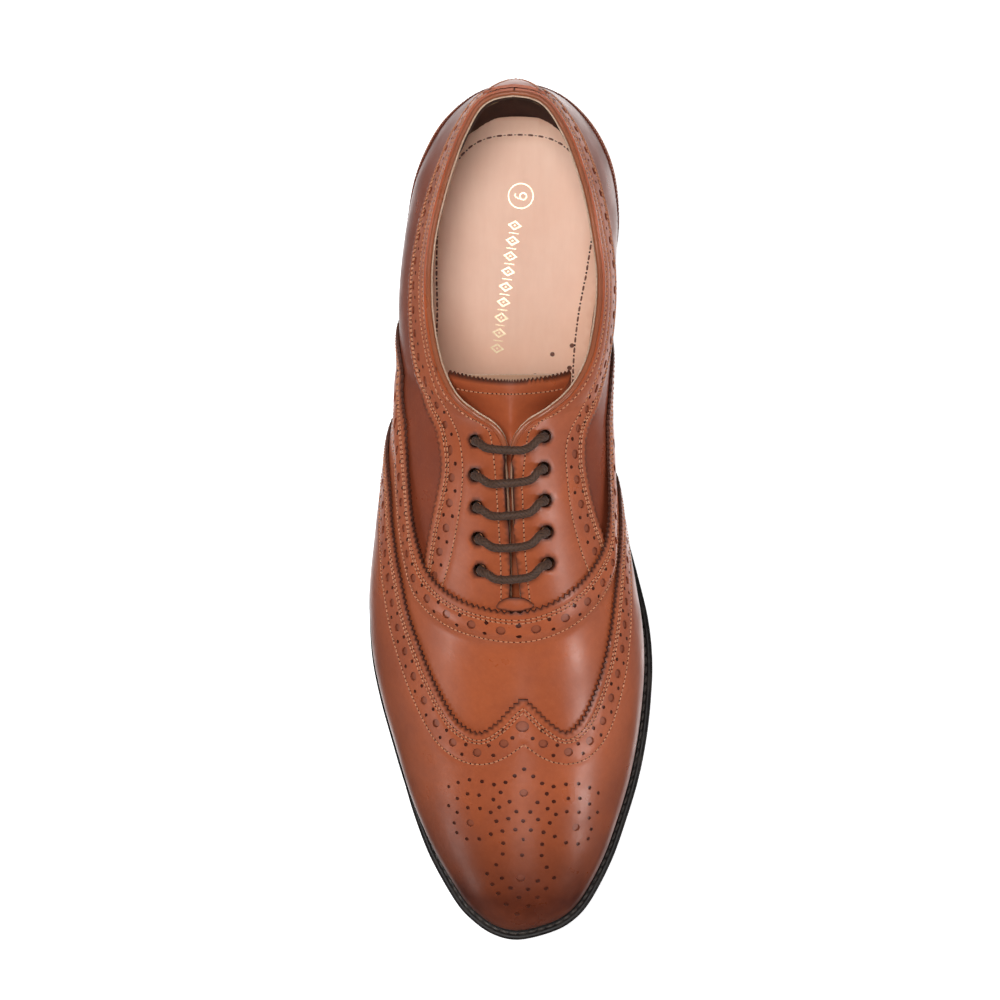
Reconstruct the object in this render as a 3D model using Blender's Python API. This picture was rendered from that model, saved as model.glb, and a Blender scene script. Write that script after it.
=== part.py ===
"""A man's leather oxford, right foot, UK size 9: a full brogue with five pairs of eyelets.

Frame: the toe points to -Y and the heel to +Y, +X is the inner (medial) side of the foot, and the
shoe stands on z = 0. Lengths in the tables and functions are millimetres; objects are in metres.

The upper is drawn on the last, the foot-shaped form that a shoe is made around. Ribs run up the
last from its feather edge (the bottom edge) to the topline or to the ridge over the toes. Leather
panels are cut from a flat pattern, in which every rib is laid out straight at its true length.
"""

import math

import bpy
import numpy as np
from mathutils import Vector
from mathutils.geometry import delaunay_2d_cdt

MM = 0.001
GAP = 0.3  # clearance that touching pieces keep

# Driving sizes, mm
RIBS_PER_SIDE = 25
ROWS = 6
HEEL_BREAST_Y = 68.0
OUTSOLE_T = 5.0
WELT_T = 2.7
INSOLE_T = 2.5
SOCK_T = 1.2
EYELET_HOLE_R = 2.75
EYELET_BORE_R = 1.8
LACE_D = 2.9
LACE_LEVEL_UNDER = -2.3  # height of the lace's axis over the last, under the facings
TAIL_LEVEL = -2.8
LACE_LEVEL_OVER = 7.2  # and where it lies on the facings

# Levels over the last of each layer of the upper: inner face, outer face
LINING = (0.0, 1.0)
STIFFENER = (1.3, 2.1)
TOE_PUFF = (1.3, 3.4)
BASE = (2.4, 3.4)
OVERLAY = (3.7, 4.7)
THROAT_LIFT = 2.6  # how far the vamp's back edge climbs to pass over the facings

TOPLINE_BEAD = (2.0, 2.3, 0.95)  # out of the last's edge, up from it, and the bead's radius
OUT_OF_PATTERN = 125.0  # rings that reach this far sideways take in the whole side of the pattern
TOE_END, HEEL_END = -165.0, 215.0  # and these lie beyond its two ends
MIDDLE_X = 4.9  # line of the ridge where the throat crosses it
SEAM_HALF = 0.2  # half the gap between pieces that meet along a line
UNDERLAP = 6.0  # how far quarters and facings run on under the vamp
THROAT_RAMP = (7.0, 10.0)  # where the vamp comes down again in front of them
MOUTH_Y = 60.5  # here the pattern's edges are those of the mouth
SLIT_CLEAR = 2.2  # front seams stop this far from the ridge, where the slit's edge takes over
FACING_START = -36.0  # the slit's edges begin here, under the vamp
LINING_START = -34.5
GRIP_PLACE = 0.90  # rib where the quarter linings end and the heel grip begins
BACK_STRIP = (5.0, 6.0)
TAB = (5.0, 5.9)

EYELET_ROWS = [-18.1 + 10.7 * row for row in range(5)]  # position of each pair, from the toe up
EYELET_OFFSET = 10.1  # from the ridge
EYELET_STAGGER = 2.0  # the inner side's eyelets sit this much nearer the heel
BARREL_R = 2.25
BARREL_ENDS = (0.3, 4.3)

EDGE_POINTS = 76
WELT_INSET = 4.0  # how far the welt runs in under the insole
BOARD_INSET = 0.5
SHANK = ((3.0, -8.0), (2.5, 84.0), 13.0)  # its two ends and its width
BREAST_BOW = 3.0
HEEL_NAILS = [(4.0, 135.5), (-17.5, 124.0), (25.5, 124.5), (-21.5, 99.0), (28.5, 99.5)]
HEEL_LAYERS = [
    ("top_piece", 0.0, 6.0), ("heel_lift_1", 6.3, 11.2), ("heel_lift_2", 11.5, 16.4),
    ("heel_lift_3", 16.7, None),
]  # fmt: skip
NAILED_LAYERS = 2  # the nails pass through the top piece into the first lift
NAIL_R = 1.4
NAIL_ENDS = (0.4, 11.0)

TONGUE_LEVEL = -5.8  # under the last, so that the lace has room over it
TONGUE_FROM, TONGUE_RISES_AT, TONGUE_TO = -37.0, 21.5, 47.5
TONGUE_HALF = [(-37, 15.0), (-15, 18.5), (19, 21.0)]
TONGUE_SLOPE = 0.33  # of the free end above the facings
TONGUE_CROWN = 0.10  # how much lower and shorter its corners are than its middle
TONGUE_PIVOT = (4.5, -35.0, 61.0)

# Pattern points of the lace's ends, which run down between the lining and the foot to the toe box
TAIL_LATERAL = [
    (-10.5, 24.0), (-17, 24), (-26, 25), (-36, 27), (-47, 29.5), (-57, 29), (-66, 26), (-72.5, 19),
    (-74, 9), (-71.5, -3), (-68.5, -15), (-65.5, -27), (-61.5, -40), (-57.5, -52), (-53, -65), (-49, -78),
]  # fmt: skip
TAIL_MEDIAL = [
    (18.5, 17), (24, 17.6), (33, 18), (43, 18), (54, 17), (64, 14), (72, 8), (76, -2), (74.5, -14),
    (70, -26), (65.5, -38), (61.5, -50), (57, -62), (53, -74), (49, -86),
]  # fmt: skip
AGLETS = [(-44.5, -90.0), (44.5, -98.0)]  # pattern points that the tips point to
AGLET_LEVEL = -4.6
AGLET_L = 14.0
AGLET_R = 1.5

# Outline of the sole seen from above, from the toe along the inner side to the heel and back
SOLE_OUTLINE = [
    (3.3, -149.5), (14.5, -147.0), (22.1, -143.1), (28.5, -136.1), (35.8, -122.1), (40.8, -108.1),
    (45.0, -94.1), (47.8, -80.1), (49.4, -66.0), (49.9, -52.1), (48.5, -38.0), (45.0, -23.0),
    (40.5, -6.0), (36.0, 12.0), (33.0, 30.0), (32.2, 48.0), (33.8, 66.0), (37.0, 84.0),
    (39.2, 102.0), (37.5, 119.0), (31.0, 133.0), (19.5, 143.5), (4.5, 147.5), (-10.5, 144.0),
    (-22.5, 134.5), (-29.5, 120.0), (-32.3, 102.0), (-33.0, 84.0), (-33.0, 66.0), (-34.8, 48.0),
    (-37.8, 30.0), (-41.8, 12.0), (-46.0, -6.0), (-49.6, -24.0), (-50.2, -38.0), (-49.3, -52.1),
    (-46.5, -66.0), (-42.6, -80.1), (-38.4, -94.1), (-33.5, -108.1), (-27.2, -122.1),
    (-18.9, -136.1), (-13.0, -142.6), (-5.5, -147.6),
]  # fmt: skip
# Height of the outsole's tread along the shoe: toe spring, tread, arch and heel seat
SOLE_PROFILE = [
    (-150, 9.5), (-130, 5.4), (-110, 2.6), (-90, 0.7), (-76, 0.0), (-75, 0.0), (-48, 0.0), (-47, 0.0),
    (-30, 1.0), (-10, 3.6), (10, 7.8), (40, 15.6), (68, 21.3), (90, 22.3), (150, 22.5),
]  # fmt: skip
# Distance from the sole's edge in to the last's feather edge
FEATHER_INSET = [(-150, 8.6), (-30, 8.6), (20, 6.4), (75, 5.6), (150, 5.6)]

# Ribs of the last. Each row: place of the rib along the side (0 toe, 1 heel), its top point, and
# the handles of its curve: out and up at the feather edge, out and down at the top.
RIBS_FRONT = [
    (0.000, (5.2, -112.0, 38.0), (4, 11), (15, 5.5)),
    (0.060, (5.2, -110.5, 38.4), (4, 11), (17, 4.5)),
    (0.120, (5.2, -105.5, 40.0), (5, 12), (19, 2.2)),
    (0.190, (5.5, -93.0, 44.0), (6, 13), (22, 0.6)),
    (0.270, (5.8, -72.0, 51.0), (7, 14), (25, 0.2)),
    (0.350, (5.6, -50.0, 60.0), (8, 16), (27, 0.2)),
    (0.430, (4.9, -27.0, 72.3), (10, 20), (27, 0.8)),
    (0.510, (4.0, -2.0, 84.8), (13, 24), (26, 2.5)),
    (0.580, (3.6, 18.5, 94.2), (15, 26), (25, 5.0)),
]
RIBS_LATERAL = [
    (0.600, (3.2, 22.4, 95.3), (15, 26), (23, 6.0)),
    (0.620, (1.2, 28.0, 96.4), (15, 26), (20, 8.0)),
    (0.640, (-2.4, 32.4, 96.7), (15, 25), (17, 10.0)),
    (0.660, (-7.6, 36.0, 96.2), (14, 24), (13, 12.0)),
    (0.680, (-13.4, 41.2, 94.6), (14, 22), (10, 14.0)),
    (0.700, (-17.4, 49.5, 90.8), (14, 19), (8, 16.0)),
    (0.730, (-20.4, 63.0, 84.7), (14, 17), (6, 18.0)),
    (0.770, (-21.4, 79.0, 81.4), (12, 15), (5, 19.0)),
    (0.810, (-20.0, 93.0, 81.8), (10, 15), (4, 20.0)),
    (0.850, (-17.0, 106.0, 83.3), (8, 15), (4, 21.0)),
    (0.890, (-13.3, 117.6, 85.8), (5, 15), (4, 22.0)),
    (0.930, (-9.0, 127.8, 88.6), (4, 15), (4, 22.0)),
    (0.965, (-3.6, 134.8, 90.8), (4, 15), (4, 22.0)),
]
RIBS_MEDIAL = [
    (0.600, (4.4, 22.4, 95.3), (15, 24), (24, 5.0)),
    (0.620, (6.8, 28.0, 96.4), (15, 24), (22, 7.0)),
    (0.640, (11.2, 33.2, 96.7), (15, 24), (18, 9.0)),
    (0.660, (17.6, 37.6, 96.2), (14, 22), (13, 12.0)),
    (0.680, (23.4, 43.2, 94.4), (12, 20), (9, 14.0)),
    (0.700, (27.6, 51.0, 91.2), (9, 18), (7, 16.0)),
    (0.730, (30.3, 63.5, 86.4), (7, 16), (6, 18.0)),
    (0.770, (31.2, 79.0, 83.6), (5, 15), (5, 19.0)),
    (0.810, (29.6, 92.6, 83.2), (5, 15), (4, 20.0)),
    (0.850, (27.2, 105.6, 84.6), (4, 15), (4, 21.0)),
    (0.890, (23.8, 117.4, 87.0), (4, 15), (4, 22.0)),
    (0.930, (19.5, 127.8, 89.4), (4, 15), (4, 22.0)),
    (0.965, (13.8, 134.8, 91.2), (4, 15), (4, 22.0)),
]
# Heading of each rib from its top, in degrees: 0 is to the toe and 180 to the heel
RIB_HEADING = [
    (0.00, 0), (0.06, 33), (0.12, 64), (0.19, 86), (0.27, 93), (0.35, 96), (0.43, 100), (0.51, 102),
    (0.60, 103), (0.70, 102), (0.80, 104), (0.86, 112), (0.92, 134), (0.96, 156), (1.00, 180),
]  # fmt: skip
RIB_BACK = [(1.000, (5.2, 138.6, 92.2), (4, 15), (4, 22))]


def smooth_curve(points, count, closed=False):
    """count points evenly spaced by length on a Catmull-Rom curve through points."""
    knots = np.array(points, float)
    if closed:
        knots = np.vstack([knots[-1], knots, knots[:2]])
    else:
        knots = np.vstack([2 * knots[0] - knots[1], knots, 2 * knots[-1] - knots[-2]])
    t = np.linspace(0, 1, 24, endpoint=False)[:, None]
    runs = []
    for a, b, c, d in zip(knots, knots[1:], knots[2:], knots[3:]):
        bend = (2 * a - 5 * b + 4 * c - d) * t**2 + (3 * b - a - 3 * c + d) * t**3
        runs.append(b + 0.5 * ((c - a) * t + bend))
    line = np.vstack(runs + [knots[-2][None]])
    run = np.concatenate([[0], np.cumsum(np.linalg.norm(np.diff(line, axis=0), axis=1))])
    stops = np.linspace(0, run[-1], count, endpoint=not closed)
    return np.stack([np.interp(stops, run, axis) for axis in line.T], axis=1)


def eased(table, at):
    """Value of a (place, value...) table at each place, with smooth slopes between its rows."""
    table = np.array(table, float)
    x, y = table[:, 0], table[:, 1:]
    step = np.diff(x)[:, None]
    rise = np.diff(y, axis=0) / step
    middle = (rise[1:] * step[:-1] + rise[:-1] * step[1:]) / (step[1:] + step[:-1])
    slope = np.vstack([rise[0], middle, rise[-1]])
    at = np.clip(np.atleast_1d(np.asarray(at, float)), x[0], x[-1])
    k = np.clip(np.searchsorted(x, at, side="right") - 1, 0, len(x) - 2)
    h = step[k]
    t = ((at - x[k]) / (x[k + 1] - x[k]))[:, None]
    low = y[k] * (1 + 2 * t) * (1 - t) ** 2 + slope[k] * h * t * (1 - t) ** 2
    high = y[k + 1] * t**2 * (3 - 2 * t) - slope[k + 1] * h * t**2 * (1 - t)
    return low + high


def tread_height(y):
    return eased(SOLE_PROFILE, y)[:, 0]


def inset(ring, width):
    """The closed outline moved inward by width, a number or one number for each point."""
    ahead = np.roll(ring, -1, axis=0) - np.roll(ring, 1, axis=0)
    ahead /= np.linalg.norm(ahead, axis=1, keepdims=True)
    return ring + np.stack([-ahead[:, 1], ahead[:, 0]], axis=1) * np.reshape(width, (-1, 1))


SOLE_EDGE = smooth_curve(SOLE_OUTLINE, 360, closed=True)
FEATHER = inset(SOLE_EDGE, eased(FEATHER_INSET, SOLE_EDGE[:, 1]))
FEATHER_LEVEL = OUTSOLE_T + GAP + WELT_T + GAP


def feather_half(side, places):
    """Points and outward directions of the feather edge from toe to heel, along one side."""
    toe, heel = np.argmin(FEATHER[:, 1]), np.argmax(FEATHER[:, 1])
    ring = np.roll(FEATHER, -toe, axis=0)
    heel = (heel - toe) % len(ring)
    half = ring[: heel + 1] if side > 0 else np.vstack([ring[:1], ring[:heel - 1:-1]])
    run = np.concatenate([[0], np.cumsum(np.linalg.norm(np.diff(half, axis=0), axis=1))])
    run /= run[-1]
    places = np.asarray(places, float)

    def at(where):
        return np.stack([np.interp(where, run, axis) for axis in half.T], axis=1)

    along = at(np.minimum(places + 0.01, 1)) - at(np.maximum(places - 0.01, 0))
    along[places <= 0], along[places >= 1] = (side, 0), (-side, 0)
    along /= np.linalg.norm(along, axis=1, keepdims=True)
    return at(places), np.stack([along[:, 1], -along[:, 0]], axis=1) * side


def rib_table(side):
    rows = RIBS_FRONT + (RIBS_MEDIAL if side > 0 else RIBS_LATERAL) + RIB_BACK
    return [(place, *top, *foot, *crown) for place, top, foot, crown in rows]


def last_side(side, places, heights):
    """Last points, flat-pattern points and directions at each place along a side and each height."""
    foot, out = feather_half(side, places)
    rows = eased(rib_table(side), places)
    top, foot_out, foot_up, top_out, top_down = rows[:, :3], *rows[:, 3:].T
    turn = np.radians(eased(RIB_HEADING, places)[:, 0])
    lean = np.column_stack([side * np.sin(turn), -np.cos(turn)])
    p0 = np.column_stack([foot, tread_height(foot[:, 1]) + FEATHER_LEVEL])
    p1 = p0 + np.column_stack([out * foot_out[:, None], foot_up])
    p2 = top + np.column_stack([lean * top_out[:, None], -top_down])
    t = np.linspace(0, 1, 61)[:, None, None]
    curve = p0 * (1 - t) ** 3 + 3 * p1 * t * (1 - t) ** 2 + 3 * p2 * t**2 * (1 - t) + top * t**3
    steps = np.linalg.norm(np.diff(curve, axis=0), axis=2)
    run = np.vstack([np.zeros(len(places)), np.cumsum(steps, axis=0)])
    last, flat = [], []
    for k, length in enumerate(run[-1]):
        stops = np.array(heights) * length
        last.append(np.stack([np.interp(stops, run[:, k], axis) for axis in curve[:, k].T], axis=1))
        flat.append(top[k, :2] + lean[k] * (length - stops)[:, None])
    return np.array(last), np.array(flat)


class Lattice:
    """The last as a net of triangles, with a flat pattern of the same triangles.

    Every layer of the upper is this net moved out along its normals, so layers never cross.
    """

    def __init__(self):
        ends = np.linspace(0, 1, RIBS_PER_SIDE + 1)
        heights = np.linspace(0, 1, ROWS + 1)
        right = last_side(+1, ends, heights)
        left = last_side(-1, ends[1:-1], heights)
        last = np.concatenate([right[0], left[0][::-1]])
        flat = np.concatenate([right[1], left[1][::-1]])
        ribs, rows = last.shape[:2]
        number = np.arange(ribs * rows).reshape(ribs, rows)
        crown = {}
        for rib in range(ribs):  # ribs that meet on the ridge share their top point
            key = tuple(np.round(last[rib, -1], 3))
            number[rib, -1] = crown.setdefault(key, number[rib, -1])
        cells = []
        for rib in range(ribs):
            after = (rib + 1) % ribs
            for row in range(rows - 1):
                a, b = number[rib, row], number[after, row]
                c, d = number[after, row + 1], number[rib, row + 1]
                cells += [(a, b, c), (a, c, d)]
        self.last = last.reshape(-1, 3)
        self.flat = flat.reshape(-1, 2)
        a, b, c = (self.flat[np.array(cells)[:, k]] for k in range(3))
        self.cells = np.array(cells)[cross2(b - a, c - a) > 1e-3]
        self.normals = self.vertex_normals(number)

    def vertex_normals(self, number):
        a, b, c = (self.last[self.cells[:, k]] for k in range(3))
        facing = np.cross(b - a, c - a)
        normals = np.zeros_like(self.last)
        for k in range(3):
            np.add.at(normals, self.cells[:, k], facing)
        foot = number[:, 0]  # at the feather edge the layers stand side by side on the welt
        slope = (tread_height(self.last[foot, 1] + 1) - tread_height(self.last[foot, 1] - 1)) / 2
        normals[foot, 2] = normals[foot, 1] * slope
        length = np.linalg.norm(normals, axis=1, keepdims=True)
        return normals / np.where(length == 0, 1, length)

    def edges(self):
        pairs = {tuple(sorted((cell[k], cell[k - 1]))) for cell in self.cells.tolist() for k in range(3)}
        return sorted(pairs)

    def weights(self, points):
        """For each pattern point: its triangle, the weights of its corners, and if it is inside."""
        a, b, c = (self.flat[self.cells[:, k]] for k in range(3))
        area = cross2(b - a, c - a)
        at = points[:, None, :]
        w = np.stack([cross2(b - at, c - at), cross2(c - at, a - at), cross2(a - at, b - at)], axis=-1)
        w /= area[None, :, None]
        best = np.argmax(w.min(axis=2), axis=1)
        chosen = w[np.arange(len(points)), best]
        return self.cells[best], chosen, chosen.min(axis=1) > -1e-3

    def place(self, points, level):
        """Points in space, in mm, of pattern points at a level over the last."""
        corners, w, _ = self.weights(points)
        base = (self.last[corners] * w[..., None]).sum(axis=1)
        normal = (self.normals[corners] * w[..., None]).sum(axis=1)
        return base + normal * np.reshape(level, (-1, 1))


def cross2(a, b):
    return a[..., 0] * b[..., 1] - a[..., 1] * b[..., 0]


LAST = Lattice()


def in_ring(points, ring):
    """For each point, whether it lies inside the closed ring."""
    a, b = np.asarray(ring), np.roll(ring, -1, axis=0)
    x, y = points[:, :1], points[:, 1:]
    spans = (a[:, 1] > y) != (b[:, 1] > y)
    run = np.where(b[:, 1] == a[:, 1], 1, b[:, 1] - a[:, 1])
    cross = (b[:, 0] - a[:, 0]) * (y - a[:, 1]) / run + a[:, 0]
    return (spans & (x < cross)).sum(axis=1) % 2 == 1


def cut_out(rings, guides=(), inside=None):
    """Triangles of the region inside an odd number of rings, cut along the guide lines."""
    points, edges = [], []
    for ring in rings:
        first = len(points)
        points += [Vector(p) for p in ring]
        edges += [(first + k, first + (k + 1) % len(ring)) for k in range(len(ring))]
    for line in guides:
        first = len(points)
        points += [Vector(p) for p in line]
        edges += [(first + k, first + k + 1) for k in range(len(line) - 1)]
    verts, _, faces, *_ = delaunay_2d_cdt(points, edges, [], 0, 0.02)
    verts, faces = np.array(verts), np.array(faces)
    middle = verts[faces].mean(axis=1)
    keep = sum(in_ring(middle, ring).astype(int) for ring in rings) % 2 == 1
    if inside is not None:
        keep &= inside(middle)
    faces = faces[keep]
    a, b, c = (verts[faces[:, k]] for k in range(3))
    turn = cross2(b - a, c - a)
    faces = np.where(turn[:, None] > 0, faces, faces[:, ::-1])
    used, faces = np.unique(faces, return_inverse=True)
    return verts[used], faces.reshape(-1, 3)


def make_object(name, verts, faces, look, smooth=True):
    mesh = bpy.data.meshes.new(name)
    mesh.from_pydata([tuple(v) for v in np.asarray(verts) * MM], [], [tuple(f) for f in faces])
    mesh.validate()
    if smooth:
        mesh.shade_smooth()
        mesh.set_sharp_from_angle(angle=math.radians(35))
    obj = bpy.data.objects.new(name, mesh)
    bpy.context.scene.collection.objects.link(obj)
    obj.data.materials.append(material(*look))
    return obj


def slab(name, region, low, high, look):
    """A closed solid between the low and the high position of each vertex of a flat region."""
    flat, faces = region
    count = len(flat)
    edges = {}
    for face in faces.tolist():
        for a, b in zip(face, face[1:] + face[:1]):
            edges[(a, b)] = edges.get((b, a), 0)
    rim = [(a, b) for a, b in edges if (b, a) not in edges]
    verts = np.vstack([low(flat), high(flat)])
    skin = [tuple(reversed(face)) for face in faces.tolist()]
    skin += [tuple(v + count for v in face) for face in faces.tolist()]
    skin += [(a, b, b + count, a + count) for a, b in rim]
    return make_object(name, verts, skin, look)


def material(name, colour, roughness, metallic=0.0):
    found = bpy.data.materials.get(name)
    if found:
        return found
    made = bpy.data.materials.new(name)
    made.use_nodes = True
    shader = made.node_tree.nodes["Principled BSDF"]
    shader.inputs["Base Color"].default_value = (*colour, 1)
    shader.inputs["Roughness"].default_value = roughness
    shader.inputs["Metallic"].default_value = metallic
    return made


# ---- build ----
TAN = ("tan calf", (0.43, 0.10, 0.035), 0.42)
TAN_OVERLAY = ("tan calf, overlays", (0.38, 0.085, 0.030), 0.42)
LINING_LOOK = ("lining leather", (0.55, 0.33, 0.22), 0.6)
BROWN_LINING = ("dark suede lining", (0.07, 0.035, 0.025), 0.8)
SOLE_LOOK = ("sole rubber", (0.02, 0.018, 0.017), 0.6)
WELT_LOOK = ("welt leather", (0.03, 0.024, 0.02), 0.5)
CORK = ("cork filler", (0.35, 0.2, 0.1), 0.9)
BOARD = ("fibre board", (0.45, 0.33, 0.22), 0.9)
STEEL = ("shank steel", (0.5, 0.5, 0.5), 0.35, 1.0)
BRASS = ("brass", (0.6, 0.4, 0.15), 0.35, 1.0)
LACE_LOOK = ("waxed lace", (0.06, 0.04, 0.03), 0.55)
PLASTIC = ("aglet plastic", (0.08, 0.05, 0.03), 0.3)

# Seams in the flat pattern, from the outer (lateral) side over the foot to the inner side
THROAT = [
    (-104, 92), (-72, 72), (-56, 54), (-47, 39), (-41, 27), (-37.5, 14), (-34.3, 2), (-30.7, -9),
    (-26.6, -17.6), (-19.5, -24.5), (-9, -29.8), (4.7, -32.3), (14.5, -30), (23.8, -24.6),
    (32, -17.2), (38.8, -8.9), (43.2, 2), (47.9, 17), (52.6, 31), (61, 46), (76, 62), (106, 84),
]  # fmt: skip
WING_OUTER = [
    (-104, 54), (-80, 42), (-64, 30), (-54, 14.7), (-48.7, -1), (-44.5, -13), (-40.9, -22),
    (-36.5, -34), (-30.7, -46), (-25.8, -55.4), (-20.4, -64.5), (-15.2, -71.4), (-7.8, -75.4),
    (-1.6, -72), (2.8, -67), (6.7, -63),
]  # fmt: skip
WING_INNER = [
    (6.7, -63), (10.4, -67), (15, -72), (20.4, -75), (26.5, -69.8), (31.2, -61), (35.8, -50.5),
    (39.6, -40), (43.8, -28.5), (48.8, -17), (55.6, -4), (66, 12), (82, 26), (106, 38),
]  # fmt: skip
BAND_OUTER = [
    (-33, -42), (-28.8, -21), (-25.7, -6), (-22, 7), (-19.8, 18), (-22.7, 27.7), (-29.4, 36),
    (-35.6, 45), (-39.2, 56), (-40.2, 68), (-39.8, 82), (-38, 96), (-34.2, 110), (-29, 124),
    (-21.5, 138), (-10, 150), (5.2, 157),
]  # fmt: skip
BAND_INNER = [
    (46, -34), (41.8, -14), (36, -1), (32.5, 10), (31.2, 20), (32.8, 28.2), (37.5, 34.4),
    (43.8, 41), (48.4, 51), (50, 65), (49.8, 80), (48, 95), (44.6, 110), (39.4, 124),
    (32, 138), (20.5, 150), (5.2, 157),
]  # fmt: skip
PUFF_EDGE = [(-90, -74), (-50, -86), (-20, -93), (6.7, -95), (33, -93), (63, -86), (100, -74)]
LINING_SEAM = [
    (-110, 42), (-66, 8), (-34, -22), (-12, -34), (5, -36.5), (22, -34), (42, -22), (72, 8), (110, 38),
]  # fmt: skip
# Top edges of the pieces round the heel: side, place along it and height up the rib
STIFFENER_TOP = [
    (-1, 0.78, 0.3), (-1, 0.82, 0.7), (-1, 0.90, 0.8), (1, 1.0, 0.84), (1, 0.90, 0.8), (1, 0.82, 0.7),
    (1, 0.78, 0.3),
]  # fmt: skip
COUNTER_TOP = [
    (-1, 0.72, -0.2), (-1, 0.745, 0.2), (-1, 0.79, 0.42), (-1, 0.87, 0.53), (-1, 0.95, 0.62),
    (1, 1.0, 0.67), (1, 0.95, 0.62), (1, 0.87, 0.53), (1, 0.79, 0.42), (1, 0.745, 0.2), (1, 0.72, -0.2),
]  # fmt: skip
BACK_STRIP_RING = [
    (-2.8, 130), (13.2, 130), (12.4, 146), (9.2, 155), (5.2, 157.4), (1.2, 155), (-2.0, 146),
]  # fmt: skip
TAB_RING = [
    (-1.3, -30.3), (1.6, -31.2), (4.8, -31.7), (8, -31.2), (10.9, -30.1), (10.2, -28.4), (7.6, -26.9),
    (2, -26.9), (-0.6, -28.4),
]  # fmt: skip
RIDGE = [(y, x) for _, (x, y, _), *_ in RIBS_FRONT]
RIDGE += [(24, 3.8), (40, 4.4), (60, 5.2), (61, 5.2), (215, 5.2)]
SLIT_HALF = [(-60, 1.5), (-31, 1.5), (-18, 0.8), (10, 0.45), (24, 0.45), (40, 0.2), (41, 0.2), (215, 0.2)]


def pattern_at(side, place, height):
    """Pattern point on the rib at a place along a side, at a height from 0 to 1 (may overshoot)."""
    _, flat = last_side(side, np.array([place]), [0.0, 1.0])
    return flat[0, 0] + (flat[0, 1] - flat[0, 0]) * height


def offset_line(points, distance, count=40):
    """A smooth curve moved sideways: positive distances move to the right of its direction."""
    line = smooth_curve(points, count)
    ahead = np.gradient(line, axis=0)
    ahead /= np.linalg.norm(ahead, axis=1, keepdims=True)
    return line + np.stack([ahead[:, 1], -ahead[:, 0]], axis=1) * distance


def distance_to(points, line):
    """Distance of each point from a polyline."""
    a, b = line[:-1], line[1:]
    run = b - a
    t = ((points[:, None] - a) * run).sum(axis=2) / (run**2).sum(axis=1)
    near = a + np.clip(t, 0, 1)[..., None] * run
    return np.linalg.norm(points[:, None] - near, axis=2).min(axis=1)


def slit_edge(side, start_y, end_y=HEEL_END):
    """Edge of the opening over the instep: along the slit, through the mouth, up the back seam."""
    y = np.concatenate([np.arange(start_y, 60, 10.0), [60.0, end_y]])
    x = eased(RIDGE, y)[:, 0] + side * eased(SLIT_HALF, y)[:, 0]
    return np.column_stack([x, y])


def circle(centre, radius, sides):
    turn = np.arange(sides) * 2 * math.pi / sides
    return np.column_stack([np.cos(turn), np.sin(turn)]) * radius + centre


def eyelet_spots(side):
    shift = EYELET_STAGGER if side > 0 else 0
    y = np.array(EYELET_ROWS) + shift
    return np.column_stack([eased(RIDGE, y)[:, 0] + side * EYELET_OFFSET, y])


def panel(name, look, levels, rings, lines=(), lift=None):
    """A piece of leather cut from the pattern inside rings, laid on the last between two levels."""
    corners = LAST.flat
    guides = [corners[list(edge)] for edge in LAST.edges()] + list(lines)
    region = cut_out(rings, guides, lambda points: LAST.weights(points)[2])

    def at(level):
        return lambda points: LAST.place(points, level + (lift(points) if lift else 0.0))

    return slab(name, region, at(levels[0]), at(levels[1]), look)


def quarter_ring(side, front, start_y, rear=()):
    """Ring of all behind a front line, on one side of the slit, up to the back seam or a rear line."""
    edge = slit_edge(side, start_y, MOUTH_Y if len(rear) else HEEL_END)
    own = front[(front[:, 0] - eased(RIDGE, front[:, 1])[:, 0]) * side > SLIT_CLEAR]
    if side > 0:
        own = own[::-1]
    rear = rear if len(rear) else [(side * OUT_OF_PATTERN, HEEL_END)]
    return np.vstack([own, edge, rear, [(side * OUT_OF_PATTERN, own[0][1])]])


def holes(side, radius=EYELET_HOLE_R):
    return [circle(spot, radius, 10) for spot in eyelet_spots(side)]


SIDES = ((-1, "lateral"), (+1, "medial"))
TOE_RING = [(OUT_OF_PATTERN, TOE_END), (-OUT_OF_PATTERN, TOE_END)]
BACK_RING = [(OUT_OF_PATTERN, HEEL_END), (-OUT_OF_PATTERN, HEEL_END)]


def build_linings():
    seam = smooth_curve(LINING_SEAM, 24)
    apart = np.array([0, SEAM_HALF])
    panel("vamp_lining", LINING_LOOK, LINING, [np.vstack([seam - apart, TOE_RING])])
    lines = []
    for side, name in SIDES:
        line = np.array([pattern_at(side, GRIP_PLACE, height) for height in (1.2, -0.2)])
        lines.append(line)
        low = line - apart
        ring = quarter_ring(side, seam + apart, LINING_START, [*low, (side * OUT_OF_PATTERN, low[1][1])])
        panel(f"quarter_lining_{name}", LINING_LOOK, LINING, [ring, *holes(side)])
    grip = np.vstack([lines[0], [(-80, HEEL_END), (90, HEEL_END)], lines[1][::-1]])
    panel("heel_grip", BROWN_LINING, LINING, [grip + apart])


def build_stiffeners():
    edge = smooth_curve(PUFF_EDGE, 24)
    panel("toe_puff", BOARD, TOE_PUFF, [np.vstack([edge - (0, SEAM_HALF), TOE_RING])])
    top = [pattern_at(*spot) for spot in STIFFENER_TOP]
    outer = [pattern_at(1, 0.76, -0.2), *BACK_RING, pattern_at(-1, 0.76, -0.2)]
    panel("heel_stiffener", BOARD, STIFFENER, [np.vstack([smooth_curve(top, 24), outer])])


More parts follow.
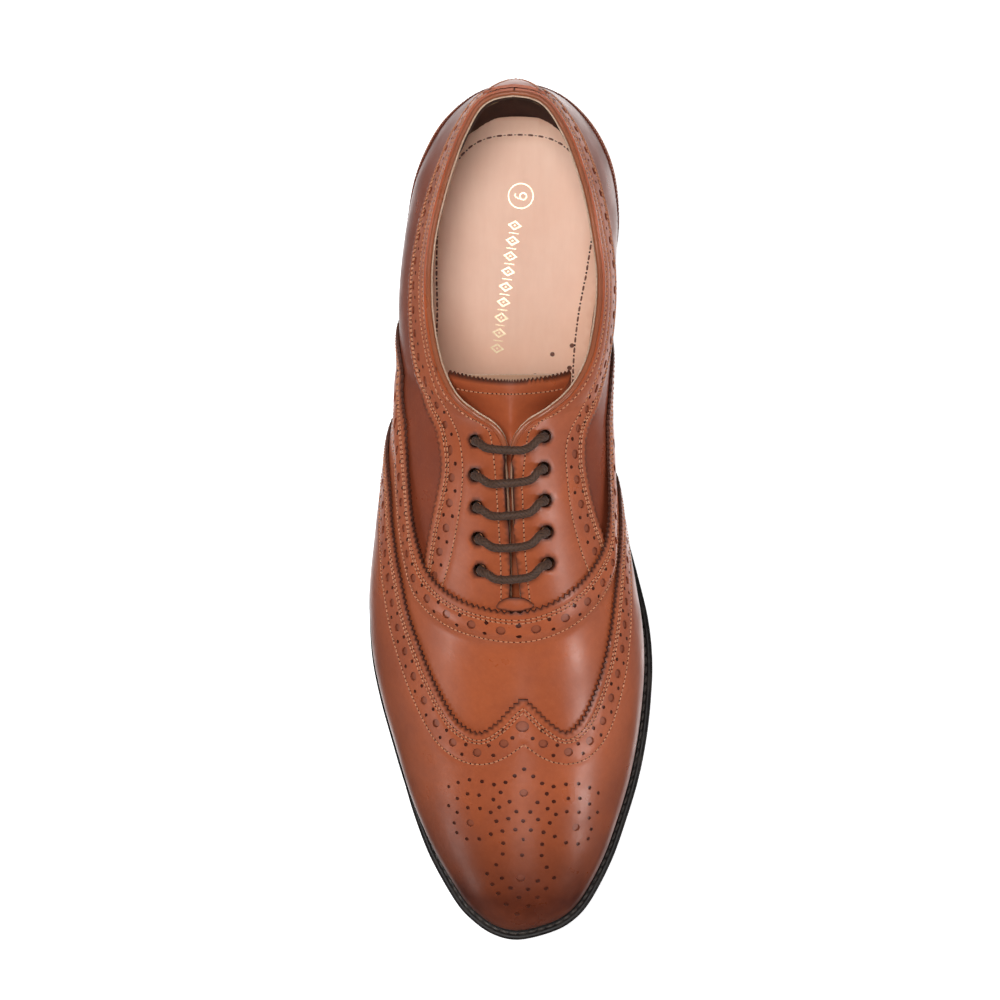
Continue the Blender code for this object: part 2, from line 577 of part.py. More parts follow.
def build_upper():
    front = offset_line(THROAT, UNDERLAP)
    for side, name in SIDES:
        ring = quarter_ring(side, front, FACING_START)
        panel(f"quarter_{name}", TAN, BASE, [ring, *holes(side)])
        band = smooth_curve(BAND_OUTER if side < 0 else BAND_INNER, 34)
        start = band[in_ring(band, ring)][0]
        own = front[(front[:, 0] - MIDDLE_X) * side > SLIT_CLEAR]
        own = own[np.abs(own[:, 0]) < abs(start[0]) - 0.5]
        if side > 0:
            own = own[::-1]
        edge = slit_edge(side, FACING_START, 150.0)
        band = band[in_ring(band, ring)][::-1]
        facing = np.vstack([own, edge, [(5.2 + side * SEAM_HALF, 156.9)], band[1:]])
        panel(f"facing_{name}", TAN_OVERLAY, OVERLAY, [facing, *holes(side)])

    throat = smooth_curve(THROAT, 40)
    near, far = THROAT_RAMP
    lines = [offset_line(THROAT, distance, 28) for distance in (near, far + 0.5)]
    puff = smooth_curve(PUFF_EDGE, 24)[::-1] + (0, SEAM_HALF)

    def over_facings(points):
        return THROAT_LIFT * np.clip((far - distance_to(points, throat)) / (far - near), 0, 1)

    panel("vamp", TAN, BASE, [np.vstack([throat, puff])], lines, over_facings)
    wing = np.vstack([smooth_curve(WING_OUTER, 26), smooth_curve(WING_INNER, 26)[1:]])
    panel("wing_cap", TAN_OVERLAY, OVERLAY, [np.vstack([wing, TOE_RING])])


def build_back():
    top = smooth_curve([pattern_at(*spot) for spot in COUNTER_TOP], 36)
    panel("heel_counter_cover", TAN_OVERLAY, OVERLAY, [np.vstack([top, BACK_RING])])
    panel("back_strip", TAN, BACK_STRIP, [BACK_STRIP_RING])
    panel("throat_tab", TAN_OVERLAY, TAB, [TAB_RING])


def sole_stations():
    return [[(-70.0, y), (70.0, y)] for y in np.arange(-140.0, 141.0, 10.0)]


def sole_layer(name, look, rings, low, high):
    """A layer of the bottom between two heights over the tread line."""

    def at(rise):
        return lambda points: np.column_stack([points, station_height(points[:, 1]) + rise])

    return slab(name, cut_out(rings, sole_stations()), at(low), at(high), look)


def station_height(y):
    """Tread height, straight between the stations that every layer of the bottom shares."""
    knots = np.concatenate([[-150.0], np.arange(-140.0, 141.0, 10.0), [150.0]])
    return np.interp(y, knots, tread_height(knots))


def feather_ring():
    places = np.linspace(0, 1, RIBS_PER_SIDE + 1)
    inner, outer = feather_half(+1, places)[0], feather_half(-1, places[1:-1])[0]
    return np.vstack([inner, outer[::-1]])


def capsule_ring(start, end, width):
    """Outline of a flat bar with round ends."""
    start, end = np.array(start, float), np.array(end, float)
    heading = math.atan2(*(end - start)[::-1])
    turn = np.linspace(-math.pi / 2, math.pi / 2, 7)

    def arc(angle):
        return np.column_stack([np.cos(turn + angle), np.sin(turn + angle)]) * width / 2

    return np.vstack([end + arc(heading), start + arc(heading + math.pi)])


def build_bottom():
    edge = smooth_curve(SOLE_OUTLINE, EDGE_POINTS, closed=True)
    feather = feather_ring()
    sole_layer("outsole", SOLE_LOOK, [edge], 0, OUTSOLE_T)
    low = OUTSOLE_T + GAP
    welt_inner = inset(feather, WELT_INSET)
    sole_layer("welt", WELT_LOOK, [edge, welt_inner], low, low + WELT_T)
    slot = capsule_ring(*SHANK[:2], SHANK[2] + 2 * GAP)
    sole_layer("bottom_filler", CORK, [inset(welt_inner, GAP), slot], low, low + WELT_T)
    sole_layer("shank", STEEL, [capsule_ring(*SHANK)], low + 0.2, low + WELT_T - 0.2)
    low = FEATHER_LEVEL
    board = inset(feather, BOARD_INSET)
    sole_layer("insole_board", BOARD, [board], low, low + INSOLE_T)
    low += INSOLE_T + GAP
    sole_layer("sock_lining", LINING_LOOK, [board], low, low + SOCK_T)


def heel_ring(shrink):
    edge = inset(smooth_curve(SOLE_OUTLINE, EDGE_POINTS, closed=True), shrink)
    back = edge[edge[:, 1] > HEEL_BREAST_Y + 1.5]
    across = np.linspace(1, -1, 7)
    breast = np.column_stack([across, HEEL_BREAST_Y + BREAST_BOW * (1 - across**2)])
    middle, half = (back[0] + back[-1]) / 2, (back[0, 0] - back[-1, 0]) / 2
    breast[:, 0] = middle[0] + breast[:, 0] * half
    return np.vstack([back, breast[::-1]])


def level_at(height):
    return lambda points: np.column_stack([points, np.full(len(points), height)])


def under_seat(points):
    return np.column_stack([points, station_height(points[:, 1]) - GAP])


def build_heel():
    stations = [line for line in sole_stations() if line[0][1] > HEEL_BREAST_Y]
    for layer, (name, low, high) in enumerate(HEEL_LAYERS):
        rings = [heel_ring(1.6 - 0.3 * layer)]
        if layer < NAILED_LAYERS:
            rings += [circle(spot, NAIL_R + GAP + 0.05, 8) for spot in HEEL_NAILS]
        region = cut_out(rings, stations if high is None else ())
        top = under_seat if high is None else level_at(high)
        slab(name, region, level_at(low), top, SOLE_LOOK if layer == 0 else WELT_LOOK)
    low, high = NAIL_ENDS
    for number, spot in enumerate(HEEL_NAILS, start=1):
        region = cut_out([circle(spot, NAIL_R, 8)])
        slab(f"heel_nail_{number}", region, level_at(low), level_at(high), BRASS)


TONGUE_LAYERS = [("tongue", TAN, 0.0, 1.2), ("tongue_lining", LINING_LOOK, -1.4, -0.4)]


def build_tongue():
    hinge = bpy.data.objects.new("tongue_pivot", None)
    hinge.location = Vector(TONGUE_PIVOT) * MM
    bpy.context.scene.collection.objects.link(hinge)
    along = np.linspace(TONGUE_FROM, TONGUE_TO, 10)
    across = np.linspace(-1, 1, 9)
    rows = []
    for y in along:
        under = min(y, TONGUE_RISES_AT)
        beyond = y - under
        half = eased(TONGUE_HALF, under)[0, 0]
        spots = np.column_stack([eased(RIDGE, under)[0, 0] + across * half, np.full(len(across), under)])
        row = LAST.place(spots, TONGUE_LEVEL)
        row[1:-1] = (row[:-2] + 2 * row[1:-1] + row[2:]) / 4  # rounds off the ridge
        row[:, 1] = row[len(across) // 2, 1] + beyond - TONGUE_CROWN * beyond * across**2
        row[:, 2] += beyond * (TONGUE_SLOPE - TONGUE_CROWN * across**2)
        rows.append(row)
    base = np.array(rows)
    tip = np.cross(np.gradient(base, axis=1), np.gradient(base, axis=0))
    tip /= np.linalg.norm(tip, axis=2, keepdims=True)
    index = np.arange(base[..., 0].size)
    number = index.reshape(base.shape[:2])
    faces = [
        tri
        for row in range(len(along) - 1)
        for col in range(len(across) - 1)
        for tri in (
            (number[row, col], number[row, col + 1], number[row + 1, col + 1]),
            (number[row, col], number[row + 1, col + 1], number[row + 1, col]),
        )
    ]

    def at(level):
        return lambda points: (base + tip * level).reshape(-1, 3)

    for name, look, low, high in TONGUE_LAYERS:
        obj = slab(name, (index[:, None], np.array(faces)), at(low), at(high), look)
        obj.parent = hinge
        obj.location = -hinge.location


def tube(name, points, radius, look, resolution=2):
    curve = bpy.data.curves.new(name, "CURVE")
    curve.dimensions = "3D"
    curve.bevel_depth = radius * MM
    curve.bevel_resolution = resolution
    curve.use_fill_caps = True
    line = curve.splines.new("POLY")
    line.points.add(len(points) - 1)
    for spot, target in zip(points, line.points):
        target.co = (*(np.array(spot) * MM), 1)
    obj = bpy.data.objects.new(name, curve)
    bpy.context.scene.collection.objects.link(obj)
    curve.materials.append(material(*look))
    return obj


def build_binding():
    """The bead that closes the edge round the mouth, from one corner of the facings to the other."""
    spots = []
    out_by, up_by, radius = TOPLINE_BEAD
    places = np.linspace(0.612, 1.0, 20)
    for side in (-1, 1):
        last, _ = last_side(side, places, [0.98, 1.0])
        top = last[:, 1]
        up = last[:, 1] - last[:, 0]
        up /= np.linalg.norm(up, axis=1, keepdims=True)
        along = np.gradient(top, axis=0)
        out = np.cross(along, up) * side
        out /= np.linalg.norm(out, axis=1, keepdims=True)
        run = top + out * out_by + up * up_by
        spots.append(run if side < 0 else run[-2::-1])
    tube("topline_binding", np.vstack(spots), radius, TAN_OVERLAY, 1)


def build_eyelets():
    """Blind eyelets: short barrels in the facings with a flange on the hidden side."""
    low, high = BARREL_ENDS
    profile = [(EYELET_BORE_R, low), (BARREL_R, low), (BARREL_R, high), (EYELET_BORE_R, high)]
    sides = 10
    for side, name in SIDES:
        for row, spot in enumerate(eyelet_spots(side), start=1):
            base, tip = LAST.place(np.array([spot]), 0)[0], LAST.place(np.array([spot]), 1)[0]
            axis = Vector(tip - base).normalized()
            turned = axis.to_track_quat("Z", "Y")
            verts, faces = [], []
            for k in range(sides):
                angle = 2 * math.pi * k / sides
                for radius, level in profile:
                    local = Vector((radius * math.cos(angle), radius * math.sin(angle), level))
                    verts.append(np.array(turned @ local) + base)
                for j in range(len(profile)):
                    after, step = (k + 1) % sides, (j + 1) % len(profile)
                    n = len(profile)
                    faces.append((k * n + j, after * n + j, after * n + step, k * n + step))
            make_object(f"eyelet_{name}_{row}", verts, faces, BRASS)


def lace_pass(spot, under, over):
    """Route up through an eyelet: the way it comes from underneath, and leaves on top."""
    spot, under, over = (np.array(v, float) for v in (spot, under, over))
    under /= np.linalg.norm(under)
    over /= np.linalg.norm(over)
    return [
        (*(spot + under * 2.4), LACE_LEVEL_UNDER), (*(spot + under * 0.7), -1.6), (*spot, -0.1),
        (*spot, 5.0), (*(spot + over * 0.7), 6.6), (*(spot + over * 2.3), LACE_LEVEL_OVER),
    ]  # fmt: skip


def lace_bar(start, end, sag=2.6):
    """The bar across the slit: it hangs a little towards the toe."""
    start, end = np.array(start), np.array(end)
    spots = [start + (end - start) * t - (0, sag * (1 - (2 * t - 1) ** 2)) for t in (0.3, 0.5, 0.7)]
    return [(*spot, LACE_LEVEL_OVER + 0.4) for spot in spots]


def lace_route():
    """Pattern points and levels of the lace, from one hidden end to the other."""
    left, right = eyelet_spots(-1), eyelet_spots(1)
    out, heel = np.array([1.0, 0.0]), np.array([0.0, 1.0])
    route = [(*p, TAIL_LEVEL) for p in TAIL_LATERAL[::-1]]
    route += lace_pass(left[4], -out, out) + lace_bar(left[4], right[4])
    route += lace_pass(right[4], -out * 0.7 - heel, -out)[::-1]
    route += [(*(right[3] - out * 4.0), LACE_LEVEL_UNDER)]
    route += lace_pass(right[2], -out * 0.7 + heel, -out) + lace_bar(right[2], left[2])
    route += lace_pass(left[2], -out * 0.7 - heel, out)[::-1]
    route += [(*(left[1] - out * 4.0), LACE_LEVEL_UNDER)]
    route += lace_pass(left[0], -out * 0.7 + heel, out) + lace_bar(left[0], right[0])
    route += lace_pass(right[0], heel, -out)[::-1]
    route += lace_pass(right[1], -heel, -out) + lace_bar(right[1], left[1])
    route += lace_pass(left[1], out * 0.7 + heel, out)[::-1]
    route += [(*(left[2] + out * 4.0), LACE_LEVEL_UNDER)]
    route += lace_pass(left[3], out * 0.7 - heel, out) + lace_bar(left[3], right[3])
    route += lace_pass(right[3], out, -out)[::-1]
    route += [(*p, TAIL_LEVEL) for p in TAIL_MEDIAL]
    return np.array(route)


def build_lace():
    route = lace_route()
    spots = LAST.place(route[:, :2], route[:, 2])
    tube("lace", spots, LACE_D / 2, LACE_LOOK)
    ends = (("aglet_lateral", spots[0], AGLETS[0]), ("aglet_medial", spots[-1], AGLETS[1]))
    for name, tail, lead in ends:
        tip = LAST.place(np.array([lead]), AGLET_LEVEL)[0]
        ahead = (tip - tail) / np.linalg.norm(tip - tail)
        tube(name, [tail + ahead * 0.5, tail + ahead * AGLET_L], AGLET_R, PLASTIC, 1)


def clear_scene():
    for obj in list(bpy.data.objects):
        bpy.data.objects.remove(obj, do_unlink=True)


clear_scene()
build_bottom()
build_heel()
build_linings()
build_stiffeners()
build_upper()
build_back()
build_tongue()
build_binding()
build_eyelets()
build_lace()
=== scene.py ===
import math

import bmesh
import bpy
import numpy as np
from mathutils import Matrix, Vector
from mathutils.bvhtree import BVHTree
from mathutils.geometry import delaunay_2d_cdt
from mathutils.kdtree import KDTree


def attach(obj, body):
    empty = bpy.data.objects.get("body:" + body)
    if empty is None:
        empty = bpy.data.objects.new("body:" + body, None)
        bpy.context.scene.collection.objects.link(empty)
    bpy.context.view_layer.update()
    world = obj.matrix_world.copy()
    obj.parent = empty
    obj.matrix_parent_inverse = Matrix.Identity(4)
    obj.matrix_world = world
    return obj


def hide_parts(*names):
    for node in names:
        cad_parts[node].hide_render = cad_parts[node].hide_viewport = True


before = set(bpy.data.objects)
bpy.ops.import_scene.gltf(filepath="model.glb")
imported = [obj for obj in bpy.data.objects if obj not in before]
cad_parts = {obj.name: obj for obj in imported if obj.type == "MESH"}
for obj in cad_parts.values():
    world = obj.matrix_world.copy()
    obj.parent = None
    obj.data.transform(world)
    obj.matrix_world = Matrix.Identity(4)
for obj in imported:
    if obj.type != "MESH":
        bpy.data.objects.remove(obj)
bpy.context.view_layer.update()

# The looks of a full-brogue oxford, right foot. The toe points to -Y, the heel to +Y, and +X is the
# inner (medial) side. Lengths are millimetres in the tables and functions, metres in the objects.
#
# The upper is drawn in a flat pattern of the last, as a shoemaker does: every line, hole and stitch
# is a 2-D point of the pattern, and LAST.surface() lays it on the foot shape at a level over it.

MM = 0.001
GAP = 0.3
OUTSOLE_T, WELT_T, INSOLE_T, SOCK_T = 5.0, 2.7, 2.5, 1.2
FEATHER_LEVEL = OUTSOLE_T + GAP + WELT_T + GAP
SOCK_TOP = FEATHER_LEVEL + INSOLE_T + GAP + SOCK_T
HEEL_BREAST_Y = 68.0
# Layers of the upper, as levels of their two faces over the last
LINING, BASE, OVERLAY, STRIP, TAB = (0.0, 1.0), (2.4, 3.4), (3.7, 4.7), (5.0, 6.0), (5.0, 5.9)
COUNTER = (3.45, 4.05)
SIDES = ((-1, "lateral"), (+1, "medial"))

SOLE_OUTLINE = [
    (3.3, -149.5), (14.5, -147.0), (22.1, -143.1), (28.5, -136.1), (35.8, -122.1), (40.8, -108.1),
    (45.0, -94.1), (47.8, -80.1), (49.4, -66.0), (49.9, -52.1), (48.5, -38.0), (45.0, -23.0),
    (40.5, -6.0), (36.0, 12.0), (33.0, 30.0), (32.2, 48.0), (33.8, 66.0), (37.0, 84.0),
    (39.2, 102.0), (37.5, 119.0), (31.0, 133.0), (19.5, 143.5), (4.5, 147.5), (-10.5, 144.0),
    (-22.5, 134.5), (-29.5, 120.0), (-32.3, 102.0), (-33.0, 84.0), (-33.0, 66.0), (-34.8, 48.0),
    (-37.8, 30.0), (-41.8, 12.0), (-46.0, -6.0), (-49.6, -24.0), (-50.2, -38.0), (-49.3, -52.1),
    (-46.5, -66.0), (-42.6, -80.1), (-38.4, -94.1), (-33.5, -108.1), (-27.2, -122.1),
    (-18.9, -136.1), (-13.0, -142.6), (-5.5, -147.6),
]  # fmt: skip
SOLE_PROFILE = [
    (-150, 9.5), (-130, 5.4), (-110, 2.6), (-90, 0.7), (-76, 0.0), (-75, 0.0), (-48, 0.0), (-47, 0.0),
    (-30, 1.0), (-10, 3.6), (10, 7.8), (40, 15.6), (68, 21.3), (90, 22.3), (150, 22.5),
]  # fmt: skip
FEATHER_INSET = [(-150, 8.6), (-30, 8.6), (20, 6.4), (75, 5.6), (150, 5.6)]

# Ribs of the last: place along the side (0 toe, 1 heel), top point, handles out and up at the
# feather edge, and out and down at the top
RIBS_FRONT = [
    (0.000, (5.2, -112.0, 38.0), (4, 11), (15, 5.5)),
    (0.060, (5.2, -110.5, 38.4), (4, 11), (17, 4.5)),
    (0.120, (5.2, -105.5, 40.0), (5, 12), (19, 2.2)),
    (0.190, (5.5, -93.0, 44.0), (6, 13), (22, 0.6)),
    (0.270, (5.8, -72.0, 51.0), (7, 14), (25, 0.2)),
    (0.350, (5.6, -50.0, 60.0), (8, 16), (27, 0.2)),
    (0.430, (4.9, -27.0, 72.3), (10, 20), (27, 0.8)),
    (0.510, (4.0, -2.0, 84.8), (13, 24), (26, 2.5)),
    (0.580, (3.6, 18.5, 94.2), (15, 26), (25, 5.0)),
]
RIBS_LATERAL = [
    (0.600, (3.2, 22.4, 95.3), (15, 26), (23, 6.0)),
    (0.620, (1.2, 28.0, 96.4), (15, 26), (20, 8.0)),
    (0.640, (-2.4, 32.4, 96.7), (15, 25), (17, 10.0)),
    (0.660, (-7.6, 36.0, 96.2), (14, 24), (13, 12.0)),
    (0.680, (-13.4, 41.2, 94.6), (14, 22), (10, 14.0)),
    (0.700, (-17.4, 49.5, 90.8), (14, 19), (8, 16.0)),
    (0.730, (-20.4, 63.0, 84.7), (14, 17), (6, 18.0)),
    (0.770, (-21.4, 79.0, 81.4), (12, 15), (5, 19.0)),
    (0.810, (-20.0, 93.0, 81.8), (10, 15), (4, 20.0)),
    (0.850, (-17.0, 106.0, 83.3), (8, 15), (4, 21.0)),
    (0.890, (-13.3, 117.6, 85.8), (5, 15), (4, 22.0)),
    (0.930, (-9.0, 127.8, 88.6), (4, 15), (4, 22.0)),
    (0.965, (-3.6, 136.1, 90.9), (4, 15), (4, 22.0)),
    (0.985, (0.6, 138.0, 91.8), (4, 15), (4, 22.0)),
]
RIBS_MEDIAL = [
    (0.600, (4.4, 22.4, 95.3), (15, 24), (24, 5.0)),
    (0.620, (6.8, 28.0, 96.4), (15, 24), (22, 7.0)),
    (0.640, (11.2, 33.2, 96.7), (15, 24), (18, 9.0)),
    (0.660, (17.6, 37.6, 96.2), (14, 22), (13, 12.0)),
    (0.680, (23.4, 43.2, 94.4), (12, 20), (9, 14.0)),
    (0.700, (27.6, 51.0, 91.2), (9, 18), (7, 16.0)),
    (0.730, (30.3, 63.5, 86.4), (7, 16), (6, 18.0)),
    (0.770, (31.2, 79.0, 83.6), (5, 15), (5, 19.0)),
    (0.810, (29.6, 92.6, 83.2), (5, 15), (4, 20.0)),
    (0.850, (27.2, 105.6, 84.6), (4, 15), (4, 21.0)),
    (0.890, (23.8, 117.4, 87.0), (4, 15), (4, 22.0)),
    (0.930, (19.5, 127.8, 89.4), (4, 15), (4, 22.0)),
    (0.965, (13.8, 136.1, 91.3), (4, 15), (4, 22.0)),
    (0.985, (9.8, 138.0, 91.9), (4, 15), (4, 22.0)),
]
RIB_BACK = [(1.000, (5.2, 138.6, 92.2), (4, 15), (4, 22))]
RIB_HEADING = [
    (0.00, 0), (0.06, 33), (0.12, 64), (0.19, 86), (0.27, 93), (0.35, 96), (0.43, 100), (0.51, 102),
    (0.60, 103), (0.70, 102), (0.80, 104), (0.86, 112), (0.92, 134), (0.96, 156), (1.00, 180),
]  # fmt: skip
FRONT_ENDS = 0.58  # the place where the ribs of the two sides part, at the mouth


def smooth_curve(points, count=0, closed=False, step=1.0):
    """Evenly spaced points on a Catmull-Rom curve: count of them, or one about every step."""
    knots = np.array(points, float)
    if closed:
        knots = np.vstack([knots[-1], knots, knots[:2]])
    else:
        knots = np.vstack([2 * knots[0] - knots[1], knots, 2 * knots[-1] - knots[-2]])
    t = np.linspace(0, 1, 24, endpoint=False)[:, None]
    runs = []
    for a, b, c, d in zip(knots, knots[1:], knots[2:], knots[3:]):
        bend = (2 * a - 5 * b + 4 * c - d) * t**2 + (3 * b - a - 3 * c + d) * t**3
        runs.append(b + 0.5 * ((c - a) * t + bend))
    line = np.vstack(runs + [knots[-2][None]])
    length = lengths(line)[-1]
    return resample(line, count or max(3, int(length / step)), closed)


def lengths(line):
    """Distance along a line to each of its points."""
    return np.concatenate([[0], np.cumsum(np.linalg.norm(np.diff(line, axis=0), axis=1))])


def points_at(line, run, stops):
    """Points of a line, with its lengths as run, at distances along it."""
    return np.stack([np.interp(stops, run, axis) for axis in line.T], axis=-1)


def resample(line, count, closed=False):
    run = lengths(line)
    return points_at(line, run, np.linspace(0, run[-1], count, endpoint=not closed))


def joined(ring):
    """The ring as a line that comes back to its first point."""
    return np.vstack([ring, ring[:1]])


def unit(vectors):
    return vectors / np.maximum(np.linalg.norm(vectors, axis=-1, keepdims=True), 1e-12)


def ramp(values, start, width):
    """0 up to the start, and 1 from a width behind it on."""
    return np.clip((values - start) / width, 0, 1)


def eased(table, at):
    """Value of a (place, value...) table at each place, with smooth slopes between its rows."""
    table = np.array(table, float)
    x, y = table[:, 0], table[:, 1:]
    step = np.diff(x)[:, None]
    rise = np.diff(y, axis=0) / step
    middle = (rise[1:] * step[:-1] + rise[:-1] * step[1:]) / (step[1:] + step[:-1])
    slope = np.vstack([rise[0], middle, rise[-1]])
    at = np.clip(np.atleast_1d(np.asarray(at, float)), x[0], x[-1])
    k = np.clip(np.searchsorted(x, at, side="right") - 1, 0, len(x) - 2)
    h = step[k]
    t = ((at - x[k]) / (x[k + 1] - x[k]))[:, None]
    low = y[k] * (1 + 2 * t) * (1 - t) ** 2 + slope[k] * h * t * (1 - t) ** 2
    high = y[k + 1] * t**2 * (3 - 2 * t) - slope[k + 1] * h * t**2 * (1 - t)
    return low + high


def smooth_step(share):
    return share**2 * (3 - 2 * share)


def tread_height(y):
    return eased(SOLE_PROFILE, y)[:, 0]


def tread_slope(y):
    return (tread_height(y + 1) - tread_height(y - 1)) / 2


def directions(line, closed=False):
    return unit(np.roll(line, -1, axis=0) - np.roll(line, 1, axis=0) if closed else np.gradient(line, axis=0))


def inset(ring, width):
    """The closed anticlockwise outline moved inward by width."""
    ahead = directions(ring, closed=True)
    return ring + np.stack([-ahead[:, 1], ahead[:, 0]], axis=1) * np.reshape(width, (-1, 1))


def offset(line, distance):
    """The line moved sideways: positive distances move to the right of its direction."""
    ahead = directions(line)
    return line + np.stack([ahead[:, 1], -ahead[:, 0]], axis=1) * np.reshape(distance, (-1, 1))


def cross2(a, b):
    return a[..., 0] * b[..., 1] - a[..., 1] * b[..., 0]


def in_ring(points, ring):
    a, b = np.asarray(ring), np.roll(ring, -1, axis=0)
    x, y = points[:, :1], points[:, 1:]
    spans = (a[:, 1] > y) != (b[:, 1] > y)
    run = np.where(b[:, 1] == a[:, 1], 1, b[:, 1] - a[:, 1])
    crossing = (b[:, 0] - a[:, 0]) * (y - a[:, 1]) / run + a[:, 0]
    return (spans & (x < crossing)).sum(axis=1) % 2 == 1


def distance_to(points, line):
    """Distance of each 2-D point from a line of closely spaced points."""
    tree = KDTree(len(line))
    for k, p in enumerate(line):
        tree.insert((p[0], p[1], 0), k)
    tree.balance()
    return np.array([tree.find((p[0], p[1], 0))[2] for p in points])


SOLE_EDGE = smooth_curve(SOLE_OUTLINE, 720, closed=True)
FEATHER = inset(SOLE_EDGE, eased(FEATHER_INSET, SOLE_EDGE[:, 1]))


def feather_half(side, places):
    """Points and outward directions of the feather edge from toe to heel, along one side."""
    toe, heel = np.argmin(FEATHER[:, 1]), np.argmax(FEATHER[:, 1])
    ring = np.roll(FEATHER, -toe, axis=0)
    heel = (heel - toe) % len(ring)
    half = ring[: heel + 1] if side > 0 else np.vstack([ring[:1], ring[: heel - 1 : -1]])
    run = lengths(half) / lengths(half)[-1]
    places = np.asarray(places, float)
    near, far = (points_at(half, run, np.clip(places + step, 0, 1)) for step in (-0.01, 0.01))
    along = far - near
    along[places <= 0], along[places >= 1] = (side, 0), (-side, 0)
    along = unit(along)
    return points_at(half, run, places), np.stack([along[:, 1], -along[:, 0]], axis=1) * side


def last_side(side, places, heights):
    """Last points and flat-pattern points at each place along a side and each height."""
    foot, out = feather_half(side, places)
    table = RIBS_FRONT + (RIBS_MEDIAL if side > 0 else RIBS_LATERAL) + RIB_BACK
    rows = eased([(place, *top, *low, *crown) for place, top, low, crown in table], places)
    top, foot_out, foot_up, top_out, top_down = rows[:, :3], *rows[:, 3:].T
    turn = np.radians(eased(RIB_HEADING, places)[:, 0])
    lean = np.column_stack([side * np.sin(turn), -np.cos(turn)])
    p0 = np.column_stack([foot, tread_height(foot[:, 1]) + FEATHER_LEVEL])
    p1 = p0 + np.column_stack([out * foot_out[:, None], foot_up])
    p2 = top + np.column_stack([lean * top_out[:, None], -top_down])
    t = np.linspace(0, 1, 61)[:, None, None]
    curve = p0 * (1 - t) ** 3 + 3 * p1 * t * (1 - t) ** 2 + 3 * p2 * t**2 * (1 - t) + top * t**3
    steps = np.linalg.norm(np.diff(curve, axis=0), axis=2)
    run = np.vstack([np.zeros(len(places)), np.cumsum(steps, axis=0)])
    last, flat = [], []
    for k, length in enumerate(run[-1]):
        stops = np.array(heights) * length
        last.append(points_at(curve[:, k], run[:, k], stops))
        flat.append(top[k, :2] + lean[k] * (length - stops)[:, None])
    return np.array(last), np.array(flat)


class Net:
    """The last as a fine net of triangles, with the flat pattern of the same triangles."""

    FOOT_ZONE = 1 / 6  # share of each rib, from the feather edge, over which layers turn upright

    def __init__(self, ribs_per_side=150, rows=56):
        places = np.linspace(0, 1, ribs_per_side + 1)
        heights = np.linspace(0, 1, rows + 1)
        right, left = last_side(+1, places, heights), last_side(-1, places[1:-1], heights)
        last = np.concatenate([right[0], left[0][::-1]])
        flat = np.concatenate([right[1], left[1][::-1]])
        number = np.arange(last.shape[0] * last.shape[1]).reshape(last.shape[:2])
        crown = {}
        for rib in range(len(last)):
            key = tuple(np.round(last[rib, -1], 3))
            number[rib, -1] = crown.setdefault(key, number[rib, -1])
        after = np.roll(number, -1, axis=0)
        a, b, c, d = number[:, :-1], after[:, :-1], after[:, 1:], number[:, 1:]
        halves = np.stack([a, b, c], -1), np.stack([a, c, d], -1)
        cells = np.concatenate([half.reshape(-1, 3) for half in halves])
        self.last, self.flat = last.reshape(-1, 3), flat.reshape(-1, 2)
        a, b, c = (self.flat[cells[:, k]] for k in range(3))
        self.cells = cells[cross2(b - a, c - a) > 1e-5]
        self.normals = self.vertex_normals(number)
        self.foot_line = self.flat[number[:, 0]]
        mouth = np.concatenate([places, places[1:-1][::-1]]) > FRONT_ENDS + 1e-6
        self.mouth_line = self.flat[number[mouth, -1]]
        flat3 = [(x, y, 0.0) for x, y in self.flat]
        self.tree = BVHTree.FromPolygons(flat3, self.cells.tolist(), all_triangles=True)

    def vertex_normals(self, number):
        a, b, c = (self.last[self.cells[:, k]] for k in range(3))
        facing = np.cross(b - a, c - a)
        normals = np.zeros_like(self.last)
        for k in range(3):
            np.add.at(normals, self.cells[:, k], facing)
        normals = unit(normals)
        height = np.linspace(0, 1, number.shape[1])
        share = np.clip(1 - height / self.FOOT_ZONE, 0, 1)
        foot = normals[number[:, 0]].copy()
        y = self.last[number[:, 0], 1]
        foot[:, 2] = foot[:, 1] * tread_slope(y)
        foot = unit(foot)
        for row in np.nonzero(share)[0]:
            own = number[:, row]
            normals[own] = normals[own] * (1 - share[row]) + foot * share[row]
        return unit(normals)

    def surface(self, points):
        """Last points and normals of pattern points."""
        points = np.asarray(points, float)
        base, normal = np.empty((len(points), 3)), np.empty((len(points), 3))
        for k, (x, y) in enumerate(points):
            found = self.tree.find_nearest((x, y, 0.0))
            i, j, m = self.cells[found[2]]
            a, b, c = self.flat[i], self.flat[j], self.flat[m]
            ux, uy, vx, vy = b[0] - a[0], b[1] - a[1], c[0] - a[0], c[1] - a[1]
            dx, dy = found[0][0] - a[0], found[0][1] - a[1]
            area = ux * vy - uy * vx
            s, t = (dx * vy - dy * vx) / area, (ux * dy - uy * dx) / area
            base[k] = self.last[i] * (1 - s - t) + self.last[j] * s + self.last[m] * t
            normal[k] = self.normals[i] * (1 - s - t) + self.normals[j] * s + self.normals[m] * t
        return base, normal

    def place(self, points, level):
        base, normal = self.surface(points)
        return base + normal * np.reshape(level, (-1, 1))

    def covers(self, points):
        return in_ring(points, self.foot_line) & ~in_ring(points, self.mouth_line)


LAST = Net()


